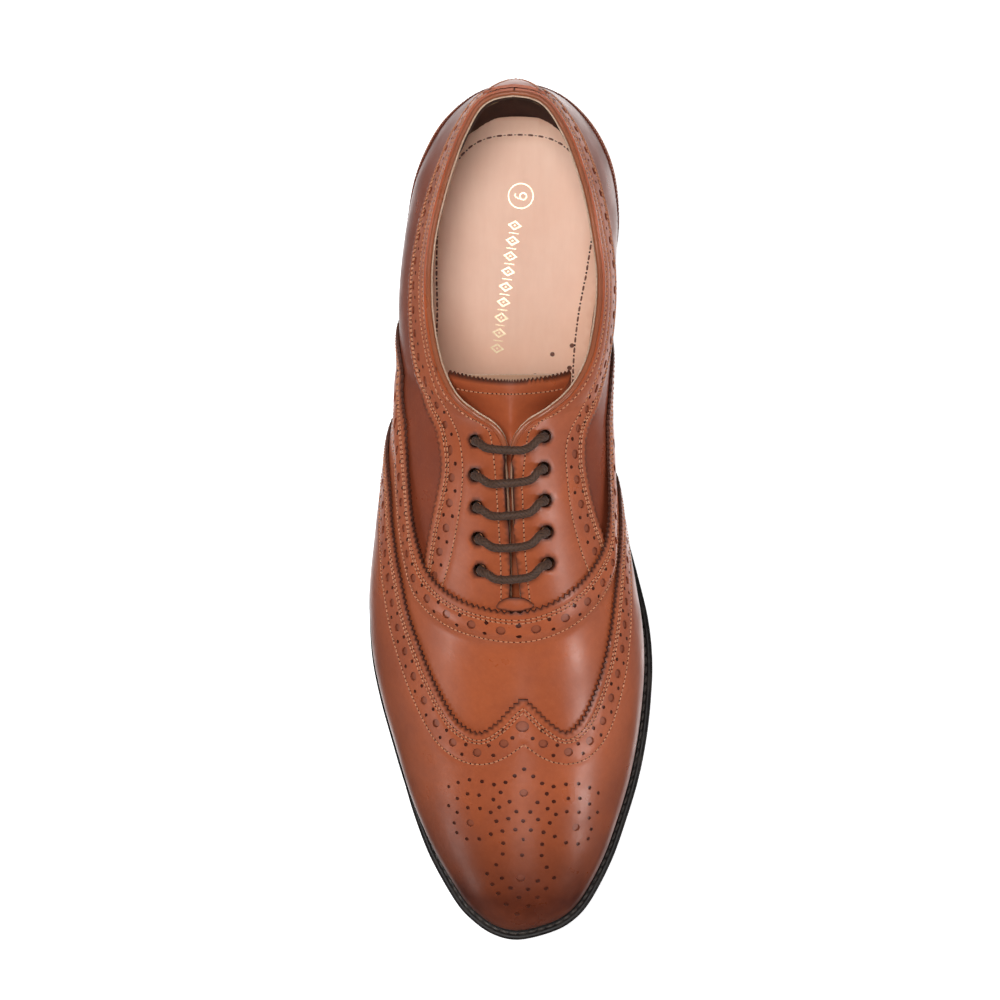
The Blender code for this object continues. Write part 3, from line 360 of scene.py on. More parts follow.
# ---- lines of the pattern, from the outer (lateral) side over the foot to the inner side ----
THROAT = [
    (-104, 86), (-72, 66), (-56, 50), (-47, 37), (-41, 27), (-37.5, 14), (-34.3, 2), (-30.7, -9),
    (-26.6, -17.6), (-19.5, -24.5), (-9, -29.8), (4.7, -32.3), (14.5, -30), (23.8, -24.6),
    (32, -17.2), (38.8, -8.9), (43.2, 2), (47.9, 17), (52.6, 31), (61, 46), (76, 62), (106, 84),
]  # fmt: skip
WING_OUTER = [
    (-104, 54), (-80, 42), (-64, 30), (-54, 14.7), (-48.7, -1), (-44.5, -13), (-40.9, -22),
    (-36.5, -34), (-30.7, -46), (-25.8, -55.4), (-20.4, -64.5), (-15.2, -71.4), (-7.8, -75.4),
    (-1.6, -72), (2.8, -67), (6.7, -63),
]  # fmt: skip
WING_INNER = [
    (6.7, -63), (10.4, -67), (15, -72), (20.4, -75), (26.5, -69.8), (31.2, -61), (35.8, -50.5),
    (39.6, -40), (43.8, -28.5), (48.8, -17), (55.6, -4), (66, 12), (82, 26), (106, 38),
]  # fmt: skip
WING_POINT_X = 6.7
BAND_OUTER = [
    (-33, -42), (-28.8, -21), (-25.7, -6), (-22, 7), (-19.8, 18), (-22.7, 27.7), (-29.4, 36),
    (-35.6, 45), (-39.2, 56), (-40.2, 68), (-39.8, 82), (-38, 96), (-34.2, 110), (-29, 124),
    (-21.5, 138), (-10, 150), (5.2, 157),
]  # fmt: skip
BAND_INNER = [
    (46, -34), (41.8, -14), (36, -1), (32.5, 10), (31.2, 20), (32.8, 28.2), (37.5, 34.4),
    (43.8, 41), (48.4, 51), (50, 65), (49.8, 80), (48, 95), (44.6, 110), (39.4, 124),
    (32, 138), (20.5, 150), (5.2, 157),
]  # fmt: skip
# Stitch row at the inner border of each punched band, which leaves the band's edge and comes back
BAND_ROW_OUTER = [
    (-22.5, -30), (-20.6, -25.1), (-16.8, -15.5), (-13.3, -2.2), (-11.1, 11.2), (-11.1, 20), (-13.3, 27.5),
    (-18.2, 36), (-21.6, 45), (-24.6, 55), (-27.4, 66), (-28.5, 78), (-27.6, 94), (-24.4, 108),
    (-19.4, 121), (-12.6, 132.5), (-4, 141), (5.2, 145.5),
]  # fmt: skip
BAND_ROW_INNER = [
    (33.2, -25), (30.5, -20.3), (26.8, -12), (23.3, 1.4), (22.1, 15.1), (22.1, 22.7), (24.4, 29),
    (29, 35.5), (33.4, 43.4), (36.8, 54), (38.5, 66), (38.6, 80), (36.9, 94), (33.6, 108),
    (29, 121), (22.6, 132.5), (14.6, 141), (5.2, 145.5),
]  # fmt: skip
LINING_SEAM = [
    (-110, 42), (-66, 8), (-34, -22), (-12, -34), (5, -36.5), (22, -34), (42, -22), (72, 8), (110, 38),
]  # fmt: skip
PUFF_EDGE = [(-90, -74), (-50, -86), (-20, -93), (6.7, -95), (33, -93), (63, -86), (100, -74)]
UNDERLAP = 6.0
RIDGE = [(y, x) for _, (x, y, _), *_ in RIBS_FRONT]
RIDGE += [(24, 3.8), (40, 4.4), (60, 5.2), (61, 5.2), (215, 5.2)]
SLIT_HALF = [
    (-60, 1.5), (-31, 1.5), (-18, 0.8), (10, 0.45), (24, 0.45), (40, 0.2), (41, 0.2), (215, 0.2),
]  # fmt: skip
EYELET_ROWS = [-18.1 + 10.7 * row for row in range(5)]
EYELET_OFFSET, EYELET_STAGGER = 10.1, 2.0
EYELET_HOLE_R = 2.3
OUT = 125.0  # past every point of the pattern
MIDDLE_X = 4.9  # of the toe's medallion and of the foot in front of the ankle

# The punched medallion of the toe: rows from its line of symmetry outward, on one side
MEDALLION_X, MEDALLION_Y, MEDALLION_TURN = 6.2, -107, math.radians(-1.5)
MEDALLION_BIG = [(0, -95.6), (0, -125.8), (17.0, -107.8)]
MEDALLION_SMALL = [
    (0, -87.3), (2.8, -89.7), (5.6, -92.1), (7.1, -95.7), (4.3, -98.8), (7.5, -101.0), (2.2, -102.2),
    (4.6, -104.8), (0, -105.4), (8.3, -106.0), (2.5, -108.5), (6.4, -109.3), (0, -111.9), (6.1, -113.5),
    (0, -117.5), (6.0, -117.6), (7.6, -122.0), (10.0, -126.0), (5.3, -126.7), (7.9, -129.6),
    (2.5, -129.9), (5.6, -132.7), (0, -133.1), (3.0, -136.1), (0, -139.3),
    (9.2, -93.1), (13.2, -92.2), (17.5, -91.9), (21.6, -93.2), (25.2, -95.1), (9.4, -98.4),
    (14.1, -97.2), (18.1, -97.1), (21.8, -99.2), (25.2, -102.4), (10.2, -103.0), (13.7, -102.0),
    (17.9, -102.2), (21.8, -104.5), (22.8, -108.8), (21.7, -112.4), (17.9, -114.0), (13.7, -113.2),
    (10.0, -110.8),
]  # fmt: skip


def pattern_at(side, place, height):
    """Pattern point at a share of a rib's height; shares past 0 and 1 lie off the net."""
    _, flat = last_side(side, np.array([place]), [0.0, 1.0])
    return flat[0, 0] + (flat[0, 1] - flat[0, 0]) * height


def ridge_x(y):
    return eased(RIDGE, y)[:, 0]


def slit_edge(side, start_y, end_y):
    """Pattern line along one edge of the slit, which goes on as the back seam behind the mouth."""
    y = np.concatenate([np.arange(start_y, 60, 2.0), [60.0, end_y]])
    return np.column_stack([ridge_x(y) + side * eased(SLIT_HALF, y)[:, 0], y])


def topline(side, below, start, count=180):
    """Pattern line along the edge of the mouth, from near the front corner to the back seam."""
    places = np.linspace(start, 1.0, count)
    _, flat = last_side(side, places, [0.0, 1.0])
    return flat[:, 1] + unit(flat[:, 0] - flat[:, 1]) * below


def eyelet_spots(side):
    y = np.array(EYELET_ROWS) + (EYELET_STAGGER if side > 0 else 0)
    return np.column_stack([ridge_x(y) + side * EYELET_OFFSET, y])


def gimped(line, pitch=2.0, depth=1.0, side=1):
    """A pinked edge: small teeth that stand out of the line to its left (side 1) or right."""
    count = max(2, int(lengths(line)[-1] / pitch)) * 2 + 1
    line = resample(line, count)
    return offset(line, -side * depth * (np.arange(count) % 2))


def circle(centre, radius, sides=12):
    angle = np.arange(sides) * 2 * math.pi / sides
    return np.column_stack([np.cos(angle), np.sin(angle)]) * radius + centre


# ---- materials ----
def linear(r, g, b):
    """Scene-linear colour of an sRGB colour from 0 to 255."""
    return tuple(((c / 255 + 0.055) / 1.055) ** 2.4 if c > 10 else c / 255 / 12.92 for c in (r, g, b))


class Shader:
    """A material under construction: short calls that add nodes and link them."""

    def __init__(self, name):
        self.material = bpy.data.materials.new(name)
        self.material.use_nodes = True
        self.tree = self.material.node_tree
        self.bsdf = self.tree.nodes["Principled BSDF"]

    def node(self, kind, inputs=(), **settings):
        made = self.tree.nodes.new("ShaderNode" + kind)
        for key, value in settings.items():
            setattr(made, key, value)
        for key, value in dict(inputs).items():
            self.put(made.inputs[key], value)
        return made

    def put(self, socket, value):
        if isinstance(value, bpy.types.NodeSocket):
            self.tree.links.new(value, socket)
        else:
            socket.default_value = (*value, 1) if isinstance(value, tuple) and len(value) == 3 \
                and socket.type == "RGBA" else value

    def set(self, **inputs):
        for key, value in inputs.items():
            self.put(self.bsdf.inputs[key.replace("_", " ")], value)
        return self

    def coords(self):
        return self.node("TexCoord").outputs["Object"]

    def noise(self, scale, detail=3.0, rough=0.55, stretch=None):
        at = self.coords()
        if stretch:
            at = self.node("Mapping", {"Vector": at, "Scale": stretch}).outputs[0]
        found = self.node("TexNoise", {"Vector": at, "Scale": scale, "Detail": detail, "Roughness": rough})
        return found.outputs["Fac"]

    def cells(self, scale):
        return self.node("TexVoronoi", {"Vector": self.coords(), "Scale": scale}).outputs["Distance"]

    def attribute(self, name):
        return self.node("Attribute", attribute_name=name).outputs["Fac"]

    def range(self, value, low, high, to_low=0.0, to_high=1.0):
        made = self.node("MapRange", {"Value": value, "From Min": low, "From Max": high,
                                      "To Min": to_low, "To Max": to_high})  # fmt: skip
        return made.outputs[0]

    def math(self, operation, a, b=0.0):
        made = self.node("Math", operation=operation)
        self.put(made.inputs[0], a)
        self.put(made.inputs[1], b)
        return made.outputs[0]

    def mix(self, factor, a, b):
        made = self.node("Mix", data_type="RGBA")
        self.put(made.inputs[0], factor)
        self.put(made.inputs[6], a)
        self.put(made.inputs[7], b)
        return made.outputs[2]

    def bump(self, height, strength, distance, after=None):
        made = self.node("Bump", {"Height": height, "Strength": strength, "Distance": distance})
        if after is not None:
            self.put(made.inputs["Normal"], after)
        return made.outputs[0]


TAN = linear(186, 96, 58)
TAN_LIGHT = linear(200, 120, 82)
TAN_DEEP = linear(140, 66, 42)
BURNT = linear(92, 38, 24)
BURNISH_AND_SHADE = linear(68, 23, 12)
EDGE_INK_AND_SHADE = linear(62, 32, 24)
THREAD = linear(214, 150, 112)
NEEDLE_HOLE_SHADE = linear(52, 24, 16)
CREAM = linear(222, 186, 160)
SOCK = linear(243, 200, 174)
INK = linear(34, 29, 27)


def calf(name, tone=TAN, deep=TAN_DEEP, gloss=0.26):
    """Polished box calf: mottled aniline colour, fine grain, burnished and painted with shade where the
    attributes say.
    """
    s = Shader(name)
    cloud = s.range(s.noise(38, 4, 0.6), 0.36, 0.66)
    fine = s.range(s.noise(420, 3, 0.65), 0.35, 0.68)
    colour = s.mix(s.math("MULTIPLY", cloud, 0.42), tone, deep)
    colour = s.mix(s.math("MULTIPLY", fine, 0.10), colour, BURNT)
    lights = s.range(s.noise(900, 2, 0.5), 0.55, 0.75)
    colour = s.mix(s.math("MULTIPLY", lights, 0.12), colour, TAN_LIGHT)
    # Burnish at the toe, and painted shade low on the sides and in the punched holes, from the attribute.
    burnish_and_shade = s.math("MULTIPLY", s.attribute("burnish_and_shade"), s.range(s.noise(60, 4), 0.3, 0.7, 0.75, 1.0))
    colour = s.mix(burnish_and_shade, colour, BURNISH_AND_SHADE)
    # Inked edges, darkened further with painted shade of the cut step.
    colour = s.mix(s.math("MULTIPLY", s.attribute("edge"), 0.85), colour, EDGE_INK_AND_SHADE)
    pores = s.range(s.cells(1500), 0.0, 0.55)
    grain = s.bump(s.noise(650, 4, 0.7), 0.22, 0.00018)
    grain = s.bump(pores, 0.10, 0.00010, grain)
    grain = s.bump(s.noise(55, 3), 0.12, 0.0010, grain)
    rough = s.range(s.noise(75, 4), 0.3, 0.7, gloss, gloss + 0.14)
    s.set(Base_Color=colour, Roughness=rough, Normal=grain)
    s.set(Specular_IOR_Level=0.45)
    return s.material


def hide(name, tone, deep, rough=0.6, grain_size=500.0, strength=0.25):
    """Unpolished leather: lining, sock or suede."""
    s = Shader(name)
    cloud = s.range(s.noise(30, 4, 0.6), 0.35, 0.68)
    fibre = s.range(s.noise(350, 3, 0.7, stretch=(1.0, 0.16, 1.0)), 0.35, 0.7)
    colour = s.mix(s.math("MULTIPLY", cloud, 0.5), tone, deep)
    colour = s.mix(s.math("MULTIPLY", fibre, 0.22), colour, deep)
    # Darker at cut edges: partly their colour, partly painted shade.
    colour = s.mix(s.attribute("edge"), colour, deep)
    grain = s.bump(s.noise(grain_size, 4, 0.75), strength, 0.0002)
    s.set(Base_Color=colour, Roughness=rough, Normal=grain)
    return s.material


def raw_edge(name, tone, deep):
    """The cut side of a piece of leather, with its fibres."""
    s = Shader(name)
    fibre = s.range(s.noise(1300, 4, 0.7), 0.3, 0.7)
    s.set(Base_Color=s.mix(fibre, tone, deep), Roughness=0.75, Normal=s.bump(fibre, 0.5, 0.0002))
    return s.material


def waxed_edge(name, tone, light, ridges):
    """Sole or welt edge: ink and wax over stacked leather."""
    s = Shader(name)
    bands = s.noise(ridges, 3, 0.6, stretch=(0.12, 0.12, 1.0))
    scuff = s.range(s.noise(160, 5, 0.7), 0.52, 0.72)
    colour = s.mix(s.math("MULTIPLY", scuff, 0.55), tone, light)
    grain = s.bump(bands, 0.35, 0.0004)
    grain = s.bump(s.noise(700, 4, 0.7), 0.25, 0.0002, grain)
    s.set(Base_Color=colour, Roughness=s.range(scuff, 0, 1, 0.42, 0.62), Normal=grain)
    s.set(Specular_IOR_Level=0.22)
    return s.material


def rubber(name):
    s = Shader(name)
    dust = s.range(s.noise(90, 5, 0.65), 0.45, 0.75)
    colour = s.mix(s.math("MULTIPLY", dust, 0.35), INK, linear(62, 58, 55))
    s.set(Base_Color=colour, Roughness=0.62, Normal=s.bump(s.noise(1200, 3, 0.6), 0.2, 0.00015))
    return s.material


def thread_look(name, tone, deep):
    s = Shader(name)
    ply = s.range(s.noise(2600, 2, 0.5), 0.35, 0.65)
    s.set(Base_Color=s.mix(s.math("MULTIPLY", ply, 0.6), tone, deep), Roughness=0.5)
    s.set(Normal=s.bump(ply, 0.4, 0.0001))
    return s.material


def lace_look():
    s = Shader("waxed_lace")
    strand = s.attribute("strand")
    fluff = s.range(s.noise(1500, 3, 0.6), 0.3, 0.7)
    # Near black between the strands and lighter on their tops: painted shade in the braid's grooves.
    colour = s.mix(strand, linear(14, 9, 8), linear(96, 70, 56))
    colour = s.mix(s.math("MULTIPLY", fluff, 0.35), colour, linear(48, 33, 26))
    s.set(Base_Color=colour, Roughness=0.6, Normal=s.bump(s.noise(3000, 2), 0.3, 0.0001))
    s.set(Sheen_Weight=0.06, Sheen_Roughness=0.4, Specular_IOR_Level=0.25)
    return s.material


def metal(name, tone, rough, brushed=0.0):
    s = Shader(name)
    wear = s.range(s.noise(500, 4, 0.7), 0.35, 0.7, rough - 0.08, rough + 0.1)
    s.set(Base_Color=tone, Metallic=1.0, Roughness=wear)
    if brushed:
        s.set(Normal=s.bump(s.noise(900, 3, 0.6, stretch=(1.0, 0.04, 1.0)), brushed, 0.0001))
    return s.material


def foil_look():
    s = Shader("gold_foil")
    worn = s.range(s.noise(700, 4, 0.7), 0.38, 0.6)
    s.set(Base_Color=s.mix(worn, linear(252, 236, 200), linear(240, 212, 170)), Metallic=0.25, Roughness=0.38)
    return s.material


def board(name, tone, deep, scale):
    s = Shader(name)
    flecks = s.range(s.cells(scale), 0.1, 0.7)
    colour = s.mix(flecks, tone, deep)
    s.set(Base_Color=colour, Roughness=0.9, Normal=s.bump(flecks, 0.4, 0.0004))
    return s.material


def plain(name, tone, rough):
    s = Shader(name)
    s.set(Base_Color=s.mix(s.noise(400, 3), tone, tuple(c * 0.7 for c in tone)), Roughness=rough)
    return s.material


LOOKS = {
    "calf": calf("tan_calf"),
    # A darker copy of the calf for the quarters: partly their deeper tone, partly painted shade of the steep
    # sides.
    "calf_deep_and_shaded": calf("tan_calf_quarters_shaded", linear(150, 72, 46), linear(116, 52, 34)),
    "bead": calf("tan_calf_binding", linear(170, 98, 66), linear(134, 70, 46)),
    "hole": calf("punched_floor", linear(168, 92, 64), linear(120, 60, 42)),
    "flesh": hide("flesh_side", linear(150, 108, 82), linear(110, 72, 52)),
    "edge": raw_edge("cut_edge", linear(104, 56, 38), EDGE_INK_AND_SHADE),
    "lining": hide("lining_leather", CREAM, linear(190, 142, 112)),
    "lining_edge": raw_edge("lining_cut_edge", linear(232, 206, 184), linear(206, 164, 132)),
    "sock": hide("sock_leather", SOCK, linear(226, 172, 142), 0.5, 700, 0.12),
    "suede": hide("dark_suede", linear(76, 46, 36), linear(46, 26, 20), 0.85, 900, 0.5),
    "welt": waxed_edge("waxed_welt", linear(26, 22, 21), linear(74, 68, 62), 900),
    "heel": waxed_edge("waxed_heel", linear(28, 24, 22), linear(54, 48, 43), 700),
    "rubber": rubber("sole_rubber"),
    "thread": thread_look("upper_thread", THREAD, linear(168, 98, 66)),
    # Near black inside the needle holes: painted shade.
    "needle_shade": plain("needle_hole_shade", NEEDLE_HOLE_SHADE, 0.8),
    "welt_thread": thread_look("welt_thread", linear(84, 76, 70), linear(46, 41, 38)),
    "sock_thread": thread_look("sock_thread", linear(116, 66, 46), linear(70, 36, 24)),
    "foil": foil_look(),
    "lace": lace_look(),
    "brass": metal("nail_brass", linear(190, 150, 90), 0.35),
    "lacquer": metal("eyelet_lacquer", linear(92, 58, 40), 0.4),
    "steel": metal("shank_steel", linear(170, 170, 172), 0.35, 0.4),
    "plastic": plain("aglet_plastic", linear(48, 32, 26), 0.25),
    "board": board("fibre_board", linear(176, 146, 112), linear(128, 100, 74), 900),
    "cork": board("cork_filler", linear(176, 122, 78), linear(104, 64, 38), 500),
}


# ---- geometry ----
def make_object(name, verts, faces, looks, shades=None, attributes=None, sharp=40):
    mesh = bpy.data.meshes.new(name)
    mesh.from_pydata((np.asarray(verts) * MM).tolist(), [], [list(map(int, f)) for f in faces])
    for look in looks:
        mesh.materials.append(LOOKS[look])
    if shades is not None:
        mesh.polygons.foreach_set("material_index", np.asarray(shades, np.int32))
    for key, values in (attributes or {}).items():
        layer = mesh.attributes.new(key, "FLOAT", "POINT")
        layer.data.foreach_set("value", np.asarray(values, np.float32))
    mesh.shade_smooth()
    mesh.set_sharp_from_angle(angle=math.radians(sharp))
    obj = bpy.data.objects.new(name, mesh)
    bpy.context.scene.collection.objects.link(obj)
    return obj


def settle(obj, slot, *nodes, body="shoe"):
    """The piece rides on its body and stands for CAD nodes, which it hides; the slot is not used."""
    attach(obj, body)
    if nodes:
        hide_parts(*nodes)


class Ground:
    """A flat surface that follows the tread line at a height over it, for the sock and the bottom."""

    borders = ()

    def __init__(self, rise):
        self.rise = rise

    def surface(self, points):
        y = points[:, 1]
        z = tread_height(y) + self.rise
        normal = np.column_stack([np.zeros(len(y)), -tread_slope(y), np.ones(len(y))])
        return np.column_stack([points, z]), unit(normal)

    def covers(self, points):
        return np.ones(len(points), bool)


class Sheet:
    """A smooth surface through a grid of points, addressed in millimetres across and along."""

    borders = ()

    def __init__(self, across, along, grid):
        self.across, self.along, self.grid = across, along, grid
        self.normals = unit(np.cross(np.gradient(grid, axis=1), np.gradient(grid, axis=0)))

    def surface(self, points):
        u = np.interp(points[:, 0], self.across, np.arange(len(self.across)))
        v = np.interp(points[:, 1], self.along, np.arange(len(self.along)))
        i = np.minimum(u.astype(int), len(self.across) - 2)
        j = np.minimum(v.astype(int), len(self.along) - 2)
        s, t = (u - i)[:, None], (v - j)[:, None]

        def blend(f):
            near = f[j, i] * (1 - s) + f[j, i + 1] * s
            return near * (1 - t) + (f[j + 1, i] * (1 - s) + f[j + 1, i + 1] * s) * t

        return blend(self.grid), blend(self.normals)

    def covers(self, points):
        return np.ones(len(points), bool)


LAST.borders = (LAST.foot_line, LAST.mouth_line)


def inside_all(points, rings, part=4000):
    """Whether each point lies inside an odd number of the rings."""
    odd = np.zeros(len(points), int)
    for first in range(0, len(points), part):
        some = slice(first, first + part)
        for ring in rings:
            odd[some] += in_ring(points[some], ring)
    return odd % 2 == 1


def triangulate(shape, rings, guides, spacing):
    """Triangles of the part of the shape inside the rings, with fine edges along all lines."""
    points, edges = [], []
    for ring in (*rings, *shape.borders):
        first = len(points)
        points += [Vector(p) for p in ring]
        edges += [(first + k, first + (k + 1) % len(ring)) for k in range(len(ring))]
    for line in guides:
        first = len(points)
        points += [Vector(p) for p in line]
        edges += [(first + k, first + k + 1) for k in range(len(line) - 1)]
    low = np.min([ring.min(axis=0) for ring in rings], axis=0)
    high = np.max([ring.max(axis=0) for ring in rings], axis=0)
    if shape.borders:
        low = np.maximum(low, shape.borders[0].min(axis=0))
        high = np.minimum(high, shape.borders[0].max(axis=0))
    x = np.arange(low[0], high[0], spacing)
    y = np.arange(low[1], high[1], spacing * 0.87)
    grid = np.stack(np.meshgrid(x, y), axis=-1)
    grid[1::2, :, 0] += spacing / 2
    grid = grid.reshape(-1, 2)
    grid = grid[inside_all(grid, rings) & shape.covers(grid)]
    if points:
        grid = grid[distance_to(grid, [tuple(p) for p in points]) > spacing * 0.45]
    points += [Vector(p) for p in grid]
    verts, _, faces, *_ = delaunay_2d_cdt(points, edges, [], 0, 0.01)
    verts, faces = np.array(verts), np.array(faces)
    middle = verts[faces].mean(axis=1)
    faces = faces[inside_all(middle, rings) & shape.covers(middle)]
    a, b, c = (verts[faces[:, k]] for k in range(3))
    faces = np.where(cross2(b - a, c - a)[:, None] > 0, faces, faces[:, ::-1])
    used, faces = np.unique(faces, return_inverse=True)
    return verts[used], faces.reshape(-1, 3)


def rim_edges(faces):
    """Directed edges that only one face has."""
    pairs = np.concatenate([faces[:, [0, 1]], faces[:, [1, 2]], faces[:, [2, 0]]])
    count = int(faces.max()) + 1
    own = pairs[:, 0] * count + pairs[:, 1]
    back = pairs[:, 1] * count + pairs[:, 0]
    return pairs[~np.isin(own, back)]


SMALL_HOLE = 1.0  # holes of a smaller radius get painted shade down to their floors


class Panel:
    """A piece of leather cut from the pattern, with punched holes and stitch grooves."""

    GROOVE, GROOVE_WIDTH = 0.20, 0.75
    HOLE_DEPTH = 0.6
    EDGE_DROP = 0.22  # how far the skin is drawn down where it was cut
    INKED_AND_SHADED_WIDTH = 0.8  # width of the inked edge and its painted shade
    SEEN_WALL = 0.62  # radius share of the guide that keeps the painted shade ring of a large hole narrow

    def __init__(self, levels, shape=LAST, lift=None):
        self.low, self.high = levels
        self.shape, self.lift = shape, lift
        self.grooves, self.punched = [], []

    def stitch_lines(self, *lines):
        self.grooves += [resample(line, int(lengths(line)[-1] / 0.9) + 2) for line in lines]

    def punch(self, spots, radius):
        self.punched += [(np.array(spot), radius) for spot in spots]

    def level(self, points):
        level = np.full(len(points), self.high)
        if self.lift is not None:
            level = level + self.lift(points)
        for line in self.grooves:
            near = distance_to(points, line)
            level -= self.GROOVE * np.exp(-((near / self.GROOVE_WIDTH) ** 2))
        return level

    def build(self, name, rings, looks=("calf", "edge", "flesh", "hole"), spacing=1.5, smooth_edge=(),
              burnish_and_shade=None, rim_ink_and_shade=1.0):  # fmt: skip
        """The closed piece: skin, cut sides, flesh side and the floors of the punched holes."""
        guides = []
        for line in self.grooves:
            guides += [line, offset(line, self.GROOVE_WIDTH), offset(line, -self.GROOVE_WIDTH)]
        guides += list(smooth_edge)
        circles = []
        for spot, radius in self.punched:
            large = radius >= SMALL_HOLE
            circles.append(circle(spot, radius, 18 if large else 10))
            if large:
                circles.append(circle(spot, radius * self.SEEN_WALL))
        loops = [joined(ring) for ring in circles]
        flat, faces = triangulate(self.shape, rings, guides + loops, spacing)
        base, normal = self.shape.surface(flat)
        top = self.level(flat)
        rim = rim_edges(faces)
        on_rim = np.zeros(len(flat), bool)
        on_rim[rim.ravel()] = True
        if self.shape.borders:
            net_rim = np.vstack(self.shape.borders)
            on_rim &= distance_to(flat, net_rim) > 0.4
        # Dark band along cut edges: edge ink plus painted shade where the piece steps down.
        inked_and_shaded_rim = np.zeros(len(flat))
        if on_rim.any():
            line = flat[on_rim]
            inked_and_shaded_rim = np.clip(1 - distance_to(flat, line) / self.INKED_AND_SHADED_WIDTH, 0, 1) * rim_ink_and_shade
        top = top - self.EDGE_DROP * on_rim
        rise = self.lift(flat) if self.lift is not None else 0.0
        low = self.low(flat) if callable(self.low) else self.low
        under = base + normal * np.reshape(low + rise, (-1, 1))
        over = base + normal * top[:, None]
        count = len(flat)
        middle = flat[faces].mean(axis=1)
        floor = np.zeros(len(faces), bool)
        for spot, radius in self.punched:
            floor |= np.linalg.norm(middle - spot, axis=1) < radius * 0.97
        verts = [over, under]
        skin = faces.copy()
        shades = np.zeros(len(faces), int)
        walls = []
        if floor.any():
            sunk, index = np.unique(faces[floor], return_inverse=True)
            skin[floor] = index.reshape(-1, 3) + 2 * count
            shades[floor] = 3
            verts.append(over[sunk] - normal[sunk] * self.HOLE_DEPTH)
            where = {int(v): 2 * count + k for k, v in enumerate(sunk)}
            walls = [(where[a], where[b], b, a) for a, b in rim_edges(faces[floor]).tolist()]
        sides = [(a, a + count, b + count, b) for a, b in rim.tolist()]
        all_faces = skin.tolist() + walls + sides + (faces[:, ::-1] + count).tolist()
        by_mouth = ~on_rim[rim].all(axis=1)  # the net's own borders are turned edges, not cut ones
        side_shades = np.where(by_mouth, 0, 1).tolist()
        wall_shades = [self.wall_shade(flat[wall[-1]]) for wall in walls]
        all_shades = [*shades, *wall_shades, *side_shades, *[2] * len(faces)]
        total = sum(len(v) for v in verts)
        edge = np.zeros(total)
        edge[:count] = inked_and_shaded_rim
        burn_and_shade = np.zeros(total)
        if burnish_and_shade is not None:
            burn_and_shade[:count] = burnish_and_shade(base)
        if floor.any():
            small = [np.linalg.norm(flat[sunk] - spot, axis=1) < radius * 1.05
                     for spot, radius in self.punched if radius < SMALL_HOLE]  # fmt: skip
            burn_and_shade[2 * count:] = burn_and_shade[sunk] * 0.5
            # Painted shade: a dark ring round the floor of each large hole.
            for spot, radius in self.punched:
                far = np.linalg.norm(flat[sunk] - spot, axis=1) / radius
                painted_hole_shade = ramp(far, 0.6, 0.35) * (far < 1.05) * 0.65
                burn_and_shade[2 * count:] = np.maximum(burn_and_shade[2 * count:], painted_hole_shade)
            # Painted shade over the whole floor of each small hole.
            if small:
                burn_and_shade[2 * count:] = np.where(np.any(small, axis=0), 1.0, burn_and_shade[2 * count:])
        return make_object(name, np.vstack(verts), all_faces, looks, all_shades,
                           {"edge": edge, "burnish_and_shade": burn_and_shade})  # fmt: skip

    def wall_shade(self, point):
        """Walls of large holes look like their floors, walls of small ones like a cut edge."""
        _, radius = min(self.punched, key=lambda hole: np.linalg.norm(hole[0] - point))
        return 3 if radius >= SMALL_HOLE else 1


